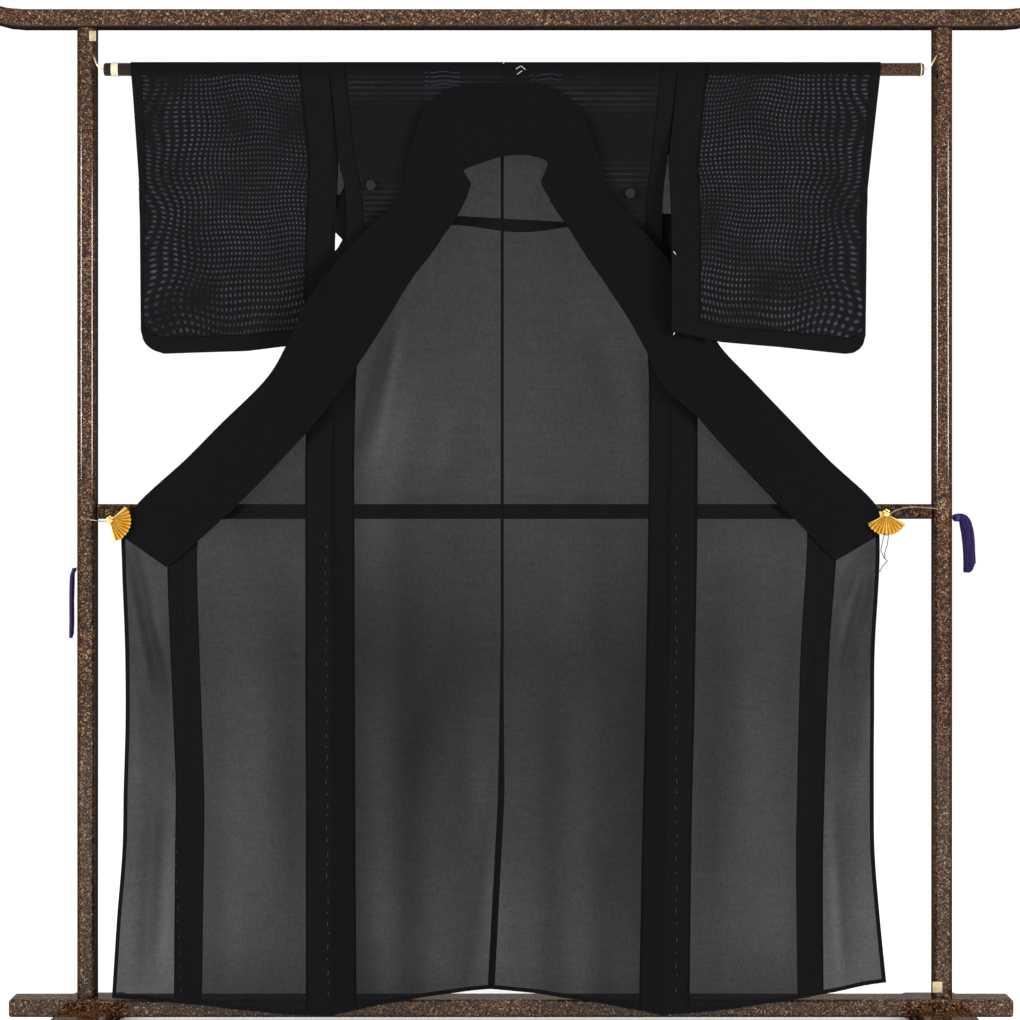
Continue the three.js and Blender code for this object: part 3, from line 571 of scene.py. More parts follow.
def gauze_material():
    """Sheer silk gauze: one layer shows what is behind it, doubled seams and hems hide it."""
    s = Surface("gauze", Roughness=0.85, Specular_IOR_Level=0.03, Sheen_Weight=0.003)
    nearest = s.math("MINIMUM", s.attribute("band_a"), s.attribute("band_b"))
    nearest = s.math("MINIMUM", nearest, s.attribute("band_h"))
    inside = s.math("LESS_THAN", nearest, 1.0)
    outside = s.minus(1.0, inside)
    rim = s.times(inside, s.math("GREATER_THAN", nearest, RIM_START))
    uneven = s.noise(7.0, 4.0, (1, 1, 0.6), 0.6)
    crepe = s.noise(420.0, 2.0, (1, 1, 0.35))
    weft = s.noise(60.0, 3.0, (0.25, 1, 5))
    grain = s.times(s.spread(crepe, 0.6, 1.4), s.spread(weft, 0.8, 1.2))
    clear = s.times(s.attribute("through"), outside)
    clear = s.times(s.times(clear, s.spread(uneven, 0.7, 1.3)), grain)
    s.set("Alpha", s.minus(1.0, clear, True))
    # Moire where two layers cross, on the phases that each point carries
    ridges = s.noise(10.0, 1.0, (1, 1, 0.6))
    floors = s.minus(ridges, 0.62, True), s.minus(0.47, ridges, True)
    dots = 1.0
    for name, ridge in zip(("phase_u", "phase_v"), floors):
        line = s.spread(s.math("SINE", s.attribute(name)), 0.5, 1.0)
        filled = s.math("MINIMUM", s.times(ridge, 4.0), 0.4)
        dots = s.times(dots, s.math("MAXIMUM", line, filled))
    patchy = s.minus(s.noise(11.0), 0.28, True)
    moire = s.times(s.math("POWER", dots, DOT_POWER), s.attribute("moire"))
    moire = s.times(moire, s.times(patchy, 3.4))
    moire = s.times(moire, outside, True)
    moire = s.times(moire, s.spread(crepe, 0.4, 1.6), True)
    colour = s.mix(rim, CLOTH_COLOUR, RIM_COLOUR)
    colour = s.mix(moire, colour, MOIRE_COLOUR)
    tone = s.times(s.attribute("tone"), s.spread(crepe, 0.6, 1.4))
    shade = s.node("CombineColor", {0: tone, 1: tone, 2: tone})
    s.set("Base Color", s.mix(1.0, colour, shade.outputs[0], "MULTIPLY"))
    bump = s.node("Bump", {"Strength": 0.12, "Distance": 0.0005, "Height": crepe})
    s.set("Normal", bump.outputs[0])
    return s.material


# Speckles: the share at which each begins and its colour, in grains of two sizes
SPECKLES = [
    (0.0, (0.003, 0.0015, 0.001)), (0.44, (0.042, 0.013, 0.0055)), (0.69, (0.125, 0.072, 0.028)),
    (0.84, (0.100, 0.029, 0.009)), (0.94, (0.25, 0.17, 0.085)),
]
SPECKLE_SCALES = (330.0, 540.0)


def lacquer_material(name, dim=1.0, gloss=0.65):
    """Brown lacquer with gold, tan, red and black speckles under a clear gloss, with painted shade
    on undersides and on sides that face along the rack.
    """
    s = Surface(name, Roughness=0.5, Specular_IOR_Level=0.0, Coat_Roughness=0.08)
    stops = [(at, tuple(c * dim for c in rgb)) for at, rgb in SPECKLES]
    colours = []
    for scale in SPECKLE_SCALES:
        grains = s.node("TexVoronoi", {"Vector": s.place(), "Scale": scale})
        split = s.node("SeparateColor", {0: grains.outputs["Color"]})
        colours.append(s.ramp(split.outputs[0], stops, True))
    colour = s.mix(s.math("GREATER_THAN", s.noise(220.0, 1.0), 0.5), *colours)
    # Darker in random patches of noise
    dark_patches = s.spread(s.noise(13.0, 3.0), -0.25, 0.85)
    colour = s.mix(dark_patches, colour, (0.012, 0.005, 0.002))
    # Painted shade: the base colour darkens on the undersides of the arrises, and on sides that
    # face along the rack
    normal = s.node("SeparateXYZ", {0: s.node("NewGeometry").outputs["Normal"]}).outputs
    under_shade = s.times(normal[2], -1.3, True)
    colour = s.mix(under_shade, colour, (0.010, 0.005, 0.003))
    along = s.times(s.minus(s.math("ABSOLUTE", normal[0]), 0.45), 1.7, True)
    s.set("Base Color", s.mix(along, colour, (0.012, 0.006, 0.004)))
    facing = s.node("LayerWeight", {"Blend": 0.5}).outputs["Facing"]
    square = s.math("POWER", s.minus(1.0, facing, True), 3.0)
    lifted = s.times(s.math("MAXIMUM", normal[2], 0.0), 0.32)
    s.set("Coat Weight", s.times(s.math("ADD", square, lifted, True), gloss))
    return s.material


def metal_material(name, colour, dark, roughness, scale, valley=0.0):
    """Worn metal; valley is the reach, in metres, over which painted shade darkens the hollows."""
    s = Surface(name, Metallic=1.0)
    noise = s.noise(scale, 3.0)
    surface = s.ramp(noise, [(0.3, dark), (0.7, colour)])
    if valley:
        # Painted shade: ambient occlusion darkens the hollows towards brown
        hollow_shade = s.node("AmbientOcclusion", {"Distance": valley}, samples=8)
        open_share = s.math("POWER", hollow_shade.outputs["AO"], 1.3)
        surface = s.mix(open_share, (0.30, 0.14, 0.025), surface)
    s.set("Base Color", surface)
    s.set("Roughness", s.spread(noise, roughness, roughness + 0.15))
    return s.material


def thread_material(name, colour, dark, scale=900.0):
    s = Surface(name, Roughness=0.6, Specular_IOR_Level=0.15)
    twist = s.node("TexWave", {"Vector": s.place(), "Scale": scale, "Distortion": 1.5})
    s.set("Base Color", s.ramp(twist.outputs["Fac"], [(0.2, dark), (0.8, colour)]))
    return s.material


# Ring places along the rod: middle and half width, left and right
ROD_RINGS = [(-667.75, 5.9), (678.2, 0.9)]


def rod_material():
    """Dark lacquer, lighter at the right, with a cream band where each end ring sits."""
    s = Surface("rod_lacquer", Roughness=0.3, Specular_IOR_Level=0.15)
    x = s.node("SeparateXYZ", {0: s.place()}).outputs[0]
    ring = 0.0
    for middle, half in ROD_RINGS:
        off = s.math("ABSOLUTE", s.minus(x, middle * MM))
        ring = s.math("MAXIMUM", ring, s.math("LESS_THAN", off, half * MM))
    noise = s.noise(300.0, 3.0)
    wood = s.mix(s.math("GREATER_THAN", x, 0.0),
                 s.ramp(noise, [(0.3, (0.003, 0.002, 0.0015)), (0.7, (0.014, 0.008, 0.005))]),
                 s.ramp(noise, [(0.42, (0.012, 0.005, 0.003)), (0.60, (0.055, 0.025, 0.011))]))
    s.set("Base Color", s.mix(ring, wood, (0.42, 0.38, 0.28)))
    return s.material


GAUZE = gauze_material()
LACQUER = lacquer_material("speckled_lacquer")
DARK_LACQUER = lacquer_material("dark_speckled_lacquer", 0.75, 0.3)
GOLD = metal_material("gilt", (1.0, 0.76, 0.27), (0.86, 0.58, 0.15), 0.16, 90.0, 0.005)
BRASS = metal_material("aged_brass", (0.72, 0.63, 0.42), (0.45, 0.36, 0.20), 0.3, 120.0)
WIRE = metal_material("plain_wire", (0.36, 0.32, 0.27), (0.16, 0.13, 0.11), 0.3, 200.0)
PURPLE = thread_material("purple_silk", (0.040, 0.019, 0.118), (0.009, 0.004, 0.034))
ROD_SURFACE = rod_material()
GREY_THREAD = thread_material("grey_thread", (0.060, 0.062, 0.070), (0.030, 0.030, 0.036), 400.0)
ROUNDEL = thread_material("dark_grey_silk", (0.0062, 0.0062, 0.0068), (0.0045, 0.0045, 0.005),
                          300.0)
CREAM_THREAD = thread_material("cream_thread", (0.55, 0.50, 0.40), (0.40, 0.36, 0.28), 400.0)

# A band value that lies in no band
FAR = 9.0


def bands(grid, kind, left=0.0, right=0.0, first=0.0, last=0.0, facing=None):
    """Values that fall below 1 inside the doubled cloth along each edge of a grid."""
    along, across = lengths(grid, 0), lengths(grid, 1)
    zero = np.zeros(across.shape)

    def band(distance, width):
        return distance / width if width else zero + FAR

    ends = np.minimum(band(along, first), band(along[-1:, :] - along, last))
    if facing is None:
        facing = squareness(grid)
    return {"band_a": band(across, left), "band_b": band(across[:, -1:] - across, right),
            "band_h": np.minimum(ends, FAR), "through": see_through(grid, kind, facing),
            "tone": zero + 1.0, "moire": zero, "phase_u": zero, "phase_v": zero}


def cloth_piece(name, solid, grid, values):
    """A sheet from rows of points, in its solid's place."""
    points = [p for row in grid for p in row]
    piece = add_mesh(name, points, grid_faces(len(grid), len(grid[0])), GAUZE)
    for key, numbers in values.items():
        layer = piece.data.attributes.new(key, "FLOAT", "POINT")
        layer.data.foreach_set("value", np.array(numbers, np.float32).ravel())
    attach(piece, "root")
    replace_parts(piece, solid)


# Cells across and steps between table rows, or steps along
CELLS = {"body": (42, 7), "overlap": (26, 14), "collar": (16, 8), "sleeve": (60, 60)}
BACK_ROWS = 112

# Widths of the doubled cloth along the seams and edges
SIDE_BAND = {"back": 38, "front": 44}
SEAM_BAND = 24
SEAM_BAND_TOP = 1215
OVERLAP_BAND = 28
HEM_BAND = 7
COLLAR_BAND = 7
SLEEVE_BANDS = dict(left=28, right=28, first=50, last=17)
CENTRE_BAND = dict(z=[60, 420, 620, 1600], left=[4, 4, 3.2, 3.2], right=[9, 8, 3.2, 3.2])
ARMHOLE_BAND = 28
ARMHOLE_LOW = 1262
SINGLE_ARMHOLE = {"left": (1415, 1475), "right": (1375, 1475)}
SHOULDER_TOP = 1600
MOIRE_FINE = 8.5
MOIRE_LOW = 1330


def fine_moire(values, heights, place, low, strength):
    """The small moire over the shoulders: rows of uneven pitch, alike right across a panel."""
    shown = np.clip((heights - low) / 60, 0, 1) * (heights < SHOULDER_TOP)
    values["moire"] = strength * shown
    values["tone"] = np.where(heights > SHOULDER_TOP, 0.8, values["tone"])
    turn = 2 * pi / MOIRE_FINE
    values["phase_u"] = turn * place + 2.2 * np.sin(heights / 33) + 1.4 * sin(place / 41)
    values["phase_v"] = turn * heights * 0.9 + 2.4 * sin(place / 37) + np.sin(heights / 52)


def body_panel(name):
    """One cloth from the back hem over the rod to the front hem."""
    side, (cells, steps) = SIGN[name], CELLS["body"]
    heights = sorted(set(np.linspace(HEM["centre"], BACK_TOP, BACK_ROWS)) | set(TUCK_ROWS))
    backs = [back_points(name, z, cells) for z in heights]
    shoulder = []
    for angle in SHOULDER_ANGLES:
        y, z = over_rod(angle)
        centre = CENTRE_SEAM["x"][0] - side * LAP / 2
        shoulder.append([(mix(side_x(name, z), centre, c / cells), y + side * LAP_APART, z)
                         for c in range(cells + 1)])
    rows = [row_at(name, k / steps) for k in range((len(ROWS[name]) - 1) * steps + 1)]
    grid = backs + shoulder + [front_points(row) for row in rows]
    facing = squareness(grid)
    # Painted crease shade on the back: troughs let less light through, ridges more
    for r, row in enumerate(backs):
        facing[r] *= [exp(-CREASE_SHADE * creases("back", x, z)) for x, _, z in row]
    for r, row in enumerate(rows, len(backs) + len(shoulder)):
        facing[r] = [front_facing(row, x, z) for x, _, z in grid[r]]
    values = bands(grid, "back", 1, SEAM_BAND, HEM_BAND, HEM_BAND, facing)
    x, _, z = np.moveaxis(np.array(grid, float), 2, 0)
    first_front = len(backs) + len(shoulder) // 2
    front = np.arange(len(grid))[:, None] >= first_front
    values["through"] *= np.where(front, lookup(FRONT_SHARE, z, "share"), 1)
    across = lengths(grid, 1)
    centre = (across[:, -1:] - across) / lookup(CENTRE_BAND, z, name)
    values["band_b"] = np.where(front, np.where(z > SEAM_BAND_TOP, FAR, values["band_b"]), centre)
    widths = np.where(z > ARMHOLE_LOW, ARMHOLE_BAND,
                      np.where(front, SIDE_BAND["front"], SIDE_BAND["back"]))
    in_from_side = side * (side_x(name, z) - x)
    single = (z > SINGLE_ARMHOLE[name][0]) & (z < SINGLE_ARMHOLE[name][1])
    beyond = np.where(single, FAR, 0.5)
    values["band_a"] = np.where(front, across / widths,
                                np.where(in_from_side < 0, beyond, in_from_side / widths))
    for r, row in enumerate(backs):
        for c, (place, _, height) in enumerate(row):
            upper, lower = tuck_edges(place)
            off = abs(height - (upper + lower) / 2) / ((upper - lower) / 2)
            values["band_h"][r, c] = min(values["band_h"][r, c], off)
    fine_moire(values, z, backs[-1][-1][0], MOIRE_LOW, 0.2)
    values["moire"] *= front
    cloth_piece(f"body_panel_{name}", f"body_{name}", grid, values)


def overlap_panel(name):
    side, (cells, steps) = SIGN[name], CELLS["overlap"]
    first = next(i for i, row in enumerate(ROWS[name]) if row[0] < OVERLAP_TOP)
    last = len(ROWS[name]) - 1
    rows = [row_at(name, k / steps) for k in range(first * steps, last * steps + 1)]
    grid = []
    for row in rows:
        points = []
        for c in range(cells + 1):
            t = c / cells
            x = mix(row["inner"] - side * LAP, row["edge"], t)
            z = mix(row["z"], row["edge_z"], mix(SEAM_RISE, 1, t))
            lapped = 2 * LAP_APART * max(0.0, 1 - 4 * t)
            points.append((x, front_depth(row, x, z, 2) + lapped, z))
        grid.append(points)
    facing = np.array([[front_facing(row, x, z) for x, _, z in points]
                       for row, points in zip(rows, grid)])
    values = bands(grid, "overlap", OVERLAP_BAND, HEM_BAND, 0, HEM_BAND, facing)
    cloth_piece(f"overlap_panel_{name}", f"overlap_{name}", grid, values)


def collar_piece():
    cells, steps = CELLS["collar"]
    rows = [np.array(row, float) for row in COLLAR]
    grid = []
    for k in range((len(rows) - 1) * steps + 1):
        seam_x, seam_z, free_x, free_z = curve_through(rows, k / steps)
        name = "left" if seam_x < CENTRE_SEAM["x"][0] else "right"
        points = []
        for c in range(cells + 1):
            t = c / cells
            x, z = mix(seam_x, free_x, t), mix(seam_z, free_z, t)
            panel = front_depth(row_at_height(name, z), x, z, 2)
            hung = mix(-49, -38, smooth((1263 - z) / 300))
            fold = min(0.0, creases("collar", x, z)) * sin(pi * t)
            y = min(panel, hung) - COLLAR_LIFT - COLLAR_PUFF * sin(pi * t) + 0.8 * fold
            points.append((x, y, z))
        grid.append(points)
    values = bands(grid, "collar", COLLAR_BAND, COLLAR_BAND)
    # Painted shade: the collar's colour darkens where it turns away from the viewer
    values["tone"] = 0.45 + 0.37 * squareness(grid) ** 3
    cloth_piece("collar_strip", "collar", grid, values)


# Moire on the sleeves: its pitch by the distance from the cuff side and from the bottom, the
# sleeves' width and low end, and the place where its rows swirl round
MOIRE_ACROSS = dict(at=[0, 60, 130, 330], pitch=[22, 13, 7.2, 5.8])
MOIRE_UP = dict(at=[0, 120, 260, 450], pitch=[15, 9.5, 8, 7.5])
SLEEVE_WIDTH = 330.0
SLEEVE_LOW = 1150
SWIRL = {"out": 235, "z": 1440, "flat": 1.6, "reach": 45, "turn": 7}


def chirp(table, distance):
    """Turns made by a wave whose pitch changes with distance, in steps of half a millimetre."""
    steps = np.linspace(0, 520, 1041)
    rate = 1 / np.interp(steps, table["at"], table["pitch"])
    turns = np.concatenate([[0], np.cumsum((rate[1:] + rate[:-1]) / 2 * np.diff(steps))])
    return 2 * pi * np.interp(distance, steps, turns)


def sleeve_moire(values, shares, heights):
    out = (1 - shares) * SLEEVE_WIDTH
    up = np.clip(heights - SLEEVE_LOW, 0, None)
    ring = np.hypot(out - SWIRL["out"], (heights - SWIRL["z"]) / SWIRL["flat"])
    swirl = SWIRL["turn"] * np.exp(-(ring / SWIRL["reach"]) ** 2)
    values["phase_u"] = (chirp(MOIRE_ACROSS, out) + 4.4 * np.sin(heights / 39 + out / 90 + 1)
                         + 2.3 * np.sin(heights / 17 - out / 47) + swirl)
    values["phase_v"] = (chirp(MOIRE_UP, up) + 3.4 * np.sin(out / 36 + heights / 130)
                         + 1.8 * np.sin(out / 19 + heights / 61) + swirl)
    values["moire"] = np.where(heights < SHOULDER_TOP, 1.0, 0.0)
    values["tone"] = np.where(heights > SHOULDER_TOP, 0.8, 1.0)


def sleeve_piece(name):
    side, form = SIGN[name], SLEEVE[name]
    cells, steps = CELLS["sleeve"]

    def inner_x(z):
        return side * SEAM_GAP + (side_x(name, z) if z >= ARMHOLE_END
                                  else lookup(form["inner"], z, "x"))

    def across(share, z):
        return mix(inner_x(z), lookup(form["outer"], z, "x"), share)

    def face(share, z, bottom, facing):
        swing = mix(form["swing_inner"], form["swing_outer"], share) * smooth((1590 - z) / 330)
        opened = lookup(SLEEVE_HALF, z, "half") * smooth((z - bottom) / 45)
        shut = smooth((share - 0.78) / 0.2) * smooth((CUFF_END - z) / 40)
        half = max(SEWN_HALF, opened * (1 - shut))
        x = across(share, z)
        ripple = 1.5 * sin(x / 26) * smooth((1500 - z) / 250)
        return x, ROD["y"] + swing + ripple + facing * half, z

    columns, shares = [], []
    for c in range(cells + 1):
        share = smooth(c / cells) * 0.35 + c / cells * 0.65
        bottom = lookup(form["lower"], share, "z", "at")
        heights = [mix(bottom, ROD["z"], u) for u in np.linspace(0, 1, steps + 1)[:-1]]
        column = [face(share, z, bottom, 1) for z in heights]
        for angle in SHOULDER_ANGLES:
            y, z = over_rod(angle)
            column.append((across(share, z), y, z))
        column += [face(share, z, bottom, -1) for z in reversed(heights)]
        columns.append(column)
        shares.append([share] * len(column))
    values = bands(columns, "sleeve", **SLEEVE_BANDS)
    sleeve_moire(values, np.array(shares), np.array(columns)[:, :, 2])
    cloth_piece(f"sleeve_cloth_{name}", f"sleeve_{name}", columns, values)


for side_name in SIGN:
    body_panel(side_name)
    overlap_panel(side_name)
    sleeve_piece(side_name)
collar_piece()


# Lacquered wood
def even_light(piece):
    piece.modifiers.new("even_light", "WEIGHTED_NORMAL").keep_sharp = False


def soften(name, width, material):
    """A copy of a solid with its arrises rounded, in place of it."""
    source = nodes[name]
    shape = bmesh.new()
    shape.from_mesh(source.data)
    shape.transform(source.matrix_world)
    bmesh.ops.remove_doubles(shape, verts=shape.verts, dist=0.00005)
    bmesh.ops.dissolve_limit(shape, angle_limit=radians(2), verts=shape.verts,
                             edges=shape.edges)
    sharp = [e for e in shape.edges
             if len(e.link_faces) == 2 and e.calc_face_angle() > radians(25)]
    bmesh.ops.bevel(shape, geom=sharp, offset=width * MM, segments=4, profile=0.5,
                    affect="EDGES", clamp_overlap=True)
    for face in shape.faces:
        face.smooth = True
    mesh = bpy.data.meshes.new(f"{name}_softened")
    shape.to_mesh(mesh)
    shape.free()
    mesh.materials.append(material)
    piece = new_object(f"{name}_softened", mesh)
    even_light(piece)
    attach(piece, "root")
    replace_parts(piece, name)


# A post's section: flat face, quick turn at the arris, then a slow round to the side
POST = {"x": 719, "half": 17.5, "flat": 5.2, "arris": 8, "arris_turn": 42, "foot": 60.3,
        "head": 1688.7}


def post_section():
    turned = radians(POST["arris_turn"])
    x1 = POST["flat"] + POST["arris"] * sin(turned)
    y1 = POST["half"] - POST["arris"] * (1 - cos(turned))
    slow = (POST["half"] - x1) / (1 - sin(turned))
    quarter = [(0.0, POST["half"])]
    for k in range(7):
        a = turned * k / 6
        quarter.append((POST["flat"] + POST["arris"] * sin(a),
                        POST["half"] - POST["arris"] * (1 - cos(a))))
    drop = y1 / cos(turned)
    for k in range(1, 9):
        a = mix(turned, pi / 2, k / 8)
        quarter.append((x1 + slow * (sin(a) - sin(turned)), drop * cos(a)))
    half = quarter + [(x, -y) for x, y in reversed(quarter[:-1])]
    return half + [(-x, y) for x, y in reversed(half[1:-1])]


def post_piece(name):
    section = post_section()
    count = len(section)
    vertices = [(SIGN[name] * POST["x"] + x, -y, z)
                for z in (POST["foot"], POST["head"]) for x, y in section] * 2
    faces = [(i, (i + 1) % count, count + (i + 1) % count, count + i) for i in range(count)]
    faces += [tuple(range(2 * count, 3 * count))[::-1], tuple(range(3 * count, 4 * count))]
    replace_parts(add_piece(f"lacquer_post_{name}", vertices, faces, LACQUER), f"post_{name}")


# The base rail, and the seat by which it reaches into each foot's notch
RAIL = {"left": -847, "right": 835, "depth": 64, "low": 30, "high": 60, "seat": 24,
        "seat_top": 38, "seat_half": 44, "seat_inset": 2, "round": 5}


def round_arrises(piece, width):
    bevel = piece.modifiers.new("arrises", "BEVEL")
    bevel.width = width * MM
    bevel.segments = 4
    even_light(piece)


def box_points(x0, x1, y0, y1, z0, z1):
    return [(x, y, z) for z in (z0, z1) for y in (y0, y1) for x in (x0, x1)]


BOX_FACES = [(0, 2, 3, 1), (4, 5, 7, 6), (0, 1, 5, 4), (2, 6, 7, 3), (0, 4, 6, 2), (1, 3, 7, 5)]


def box_faces(start):
    return [tuple(start + i for i in face) for face in BOX_FACES]


def rail_piece():
    deep, half = RAIL["depth"] / 2, RAIL["seat_half"]
    seat_deep = deep - RAIL["seat_inset"]
    corners = box_points(RAIL["left"], RAIL["right"], -deep, deep, RAIL["low"], RAIL["high"])
    faces = box_faces(0)
    for side in SIGN.values():
        x = side * POST["x"]
        faces += box_faces(len(corners))
        corners += box_points(x - half, x + half, -seat_deep, seat_deep, RAIL["seat"],
                              RAIL["seat_top"])
    piece = add_piece("lacquer_base_rail", corners, faces, LACQUER)
    round_arrises(piece, RAIL["round"])
    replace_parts(piece, "base_rail")


for side_name in SIGN:
    post_piece(side_name)
    soften(f"foot_{side_name}", 5, LACQUER)
soften("top_bar", 6, LACQUER)
rail_piece()
soften("cross_bar", 1.5, DARK_LACQUER)

# Fan clips: pivot, the fan's first and last angle from level, side of the cloth
FANS = {
    "left": {"x": -674, "z": 861, "from": -80, "to": 42, "cloth": 12},
    "right": {"x": 619, "z": 872, "from": 207, "to": 333, "cloth": -12},
}
FAN_Y = -52.5
FAN_REACH = 36
FAN_LEAVES = 11
FAN_SHARES = (0.1, 0.36, 0.62, 0.9, 1.0)
# Knob at the pivot and the small scroll by it: place, radius, reach; then each one's profile
KNOBS = ((0, 0, 5.2, 7.5), (-3.5, 4.5, 2.4, 5.5), (3.5, 5.0, 2.2, 5.0), (0, 7.0, 2.0, 4.5))
KNOB_PROFILE = ((0.35, 1.0), (0.8, 0.75), (1.0, 0.0), (0.9, -1.4))
KNOB_TURNS = 16
# The jaws that hold the cloth: depths behind the fan, thickness and half sizes
JAWS = {"depths": (3.6, 10.8), "thick": 1.6, "half_width": 13, "half_height": 4.5}


def fan_piece(name):
    fan = FANS[name]
    vertices = []
    rays = 2 * FAN_LEAVES
    for share in FAN_SHARES:
        for i in range(rays + 1):
            a = radians(mix(fan["from"], fan["to"], i / rays))
            ridge = 1 if i % 2 else -1
            reach = FAN_REACH * share * (1 if ridge > 0 or share < 1 else 0.95)
            vertices.append((fan["x"] + reach * cos(a), FAN_Y - ridge * 2.1 * share - 0.6,
                             fan["z"] + reach * sin(a)))
    faces = grid_faces(len(FAN_SHARES), rays + 1)
    piece = add_piece(f"gilt_fan_{name}", vertices, faces, GOLD, False)
    piece.modifiers.new("thickness", "SOLIDIFY").thickness = 0.7 * MM
    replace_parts(piece, f"clip_{name}")
    vertices, faces = [], []
    for cx, cz, radius, near in KNOBS:
        start, end = len(vertices), len(vertices) + len(KNOB_PROFILE) * KNOB_TURNS
        for out, forth in KNOB_PROFILE:
            y = FAN_Y - forth * near * 0.5 - 0.5
            vertices += [(x, y, z) for x, z in circle(fan["x"] + cx, fan["z"] + cz, out * radius,
                                                      KNOB_TURNS)]
        faces += ring_faces(start, KNOB_TURNS, len(KNOB_PROFILE))
        faces.append(tuple(range(start, start + KNOB_TURNS)))
        faces.append(tuple(range(end - KNOB_TURNS, end))[::-1])
    x, z = fan["x"] + fan["cloth"], fan["z"]
    wide, high = JAWS["half_width"], JAWS["half_height"]
    for low in JAWS["depths"]:
        faces += box_faces(len(vertices))
        vertices += box_points(x - wide, x + wide, FAN_Y + low, FAN_Y + low + JAWS["thick"],
                               z - high, z + high)
    round_arrises(add_piece(f"clip_fitting_{name}", vertices, faces, GOLD), 0.4)


for side_name in SIGN:
    fan_piece(side_name)

SURFACES = {
    "rod": ROD_SURFACE, "rod_hanger_left": BRASS, "rod_hanger_right": BRASS,
    "top_fitting": BRASS, "foot_fitting": BRASS, "clip_wire_left": WIRE,
    "clip_wire_right": WIRE,
}
for part_name, surface in SURFACES.items():
    for item in nodes[part_name].material_slots:
        item.material = surface


# Threads, each a short three-sided strand through a few points
def strand(points, radius, vertices, faces):
    start = len(vertices)
    for i, p in enumerate(points):
        before, after = points[max(i - 1, 0)], points[min(i + 1, len(points) - 1)]
        way = Vector([b - a for a, b in zip(before, after)]).normalized()
        side_way = way.cross(Vector((0, 1, 0)))
        if side_way.length < 0.1:
            side_way = way.cross(Vector((1, 0, 0)))
        side_way.normalize()
        other = way.cross(side_way)
        for k in range(3):
            a = tau * k / 3 + pi / 2
            off = side_way * cos(a) * radius + other * sin(a) * radius
            vertices.append((p[0] + off.x, p[1] + off.y, p[2] + off.z))
    for i in range(len(points) - 1):
        for k in range(3):
            a, b = start + 3 * i + k, start + 3 * i + (k + 1) % 3
            faces.append((a, b, b + 3, a + 3))
    last = start + 3 * (len(points) - 1)
    faces += [(start + 2, start + 1, start), (last, last + 1, last + 2)]


def panel_front(name, x, z):
    """Depth of the foremost layer of a front at a place seen from the front."""
    return front_depth(row_at_height(name, z), x, z, 2)


# Running stitches down the seams: panel, x at the top and bottom, heights, step, length
BASTING = [
    ("left", -312, -302, 840, 80, 19, 6.5), ("right", 266, 261, 840, 80, 21, 6.5),
    ("left", -567, -552, 430, 80, 23, 6.0),
]


def strands_piece(name, lines, radius, material, smooth_faces=False):
    vertices, faces = [], []
    for points in lines:
        strand(points, radius, vertices, faces)
    return add_piece(name, vertices, faces, material, smooth_faces)


def basting():
    lines = []
    for name, x_top, x_low, top, low, step, length in BASTING:
        z, k = top, 0
        while z > low:
            x = mix(x_top, x_low, (top - z) / (top - low)) + 1.2 * sin(k * 1.7)
            slant = 0.6 * sin(k * 2.3)
            y = panel_front(name, x, z) - 0.7
            lines.append([(x, y, z),
                          (x + slant, y, z - length * (0.8 + 0.3 * sin(k * 3.1)))])
            z -= step * (1 + 0.18 * sin(k * 1.3))
            k += 1
    strands_piece("basting_threads", lines, 0.35, GREY_THREAD)


basting()

# Tassels: the knob, then the skirt's middle line, and how wide the skirt is at its end
TASSELS = {
    "left": {"knob": (-742, 0, 778), "knob_radius": 4, "spread": (3.5, 8),
             "line": [(-742, 0, 778), (-745, 0, 766), (-746, 0, 730), (-746, 0, 665)]},
    "right": {"knob": (744, 0, 866), "knob_radius": 7, "spread": (10.2, 8),
              "line": [(745, 0, 866), (755, 0, 864), (762, 0, 846), (765, 0, 812), (766, 0, 775)]},
}
STRANDS = 120
GOLDEN_TURN = 2.39996
KNOB_RIBS = 7


def tassel_piece(name):
    form = TASSELS[name]
    vertices, faces = [], []
    wide, deep = form["spread"]
    last = 3 * (len(form["line"]) - 1)
    rows = [np.array(p, float) for p in form["line"]]
    line = [curve_through(rows, i / 3) for i in range(last + 1)]
    for k in range(STRANDS):
        turn = k * GOLDEN_TURN
        out = sqrt((k + 0.5) / STRANDS)
        points = []
        for i, (x, y, z) in enumerate(line):
            ahead, behind = line[min(i + 1, last)], line[max(i - 1, 0)]
            run = hypot(ahead[0] - behind[0], ahead[2] - behind[2])
            across = (behind[2] - ahead[2]) / run, (ahead[0] - behind[0]) / run
            share = 0.6 + 0.4 * smooth(i / (1.4 * last / 3))
            off = wide * out * share * cos(turn) + 0.5 * sin(k * 1.9 + i * 0.8)
            outer = max(0.0, out * cos(turn)) ** 1.6
            lift = (17 * outer + 1.5 * sin(k * 2.7)) * (i / last) ** 4
            points.append((x + off * across[0], y + deep * out * share * sin(turn),
                           z + off * across[1] + lift))
        strand(points, 0.75, vertices, faces)
    kx, ky, kz = form["knob"]
    radius = form["knob_radius"]
    start, turns, rings = len(vertices), 2 * KNOB_RIBS, 7
    for ring in range(1, rings + 1):
        b = pi * ring / (rings + 1)
        for k in range(turns):
            a = tau * k / turns
            ribbed = radius * (1 + 0.08 * cos(KNOB_RIBS * a))
            vertices.append((kx + ribbed * sin(b) * cos(a),
                             ky + ribbed * sin(b) * sin(a), kz + radius * cos(b)))
    faces += ring_faces(start, turns, rings)
    piece = add_piece(f"silk_tassel_{name}", vertices, faces, PURPLE)
    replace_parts(piece, f"tassel_{name}")
    # The cord between the knob and the post
    post_side = SIGN[name] * (POST["x"] + POST["half"] - 0.5)
    cord = [(kx, ky, kz), (mix(kx, post_side, 0.6), ky, kz + 3), (post_side, ky, kz + 4)]
    strands_piece(f"tassel_cord_{name}", [cord], 1.3, PURPLE, True)


for side_name in SIGN:
    tassel_piece(side_name)

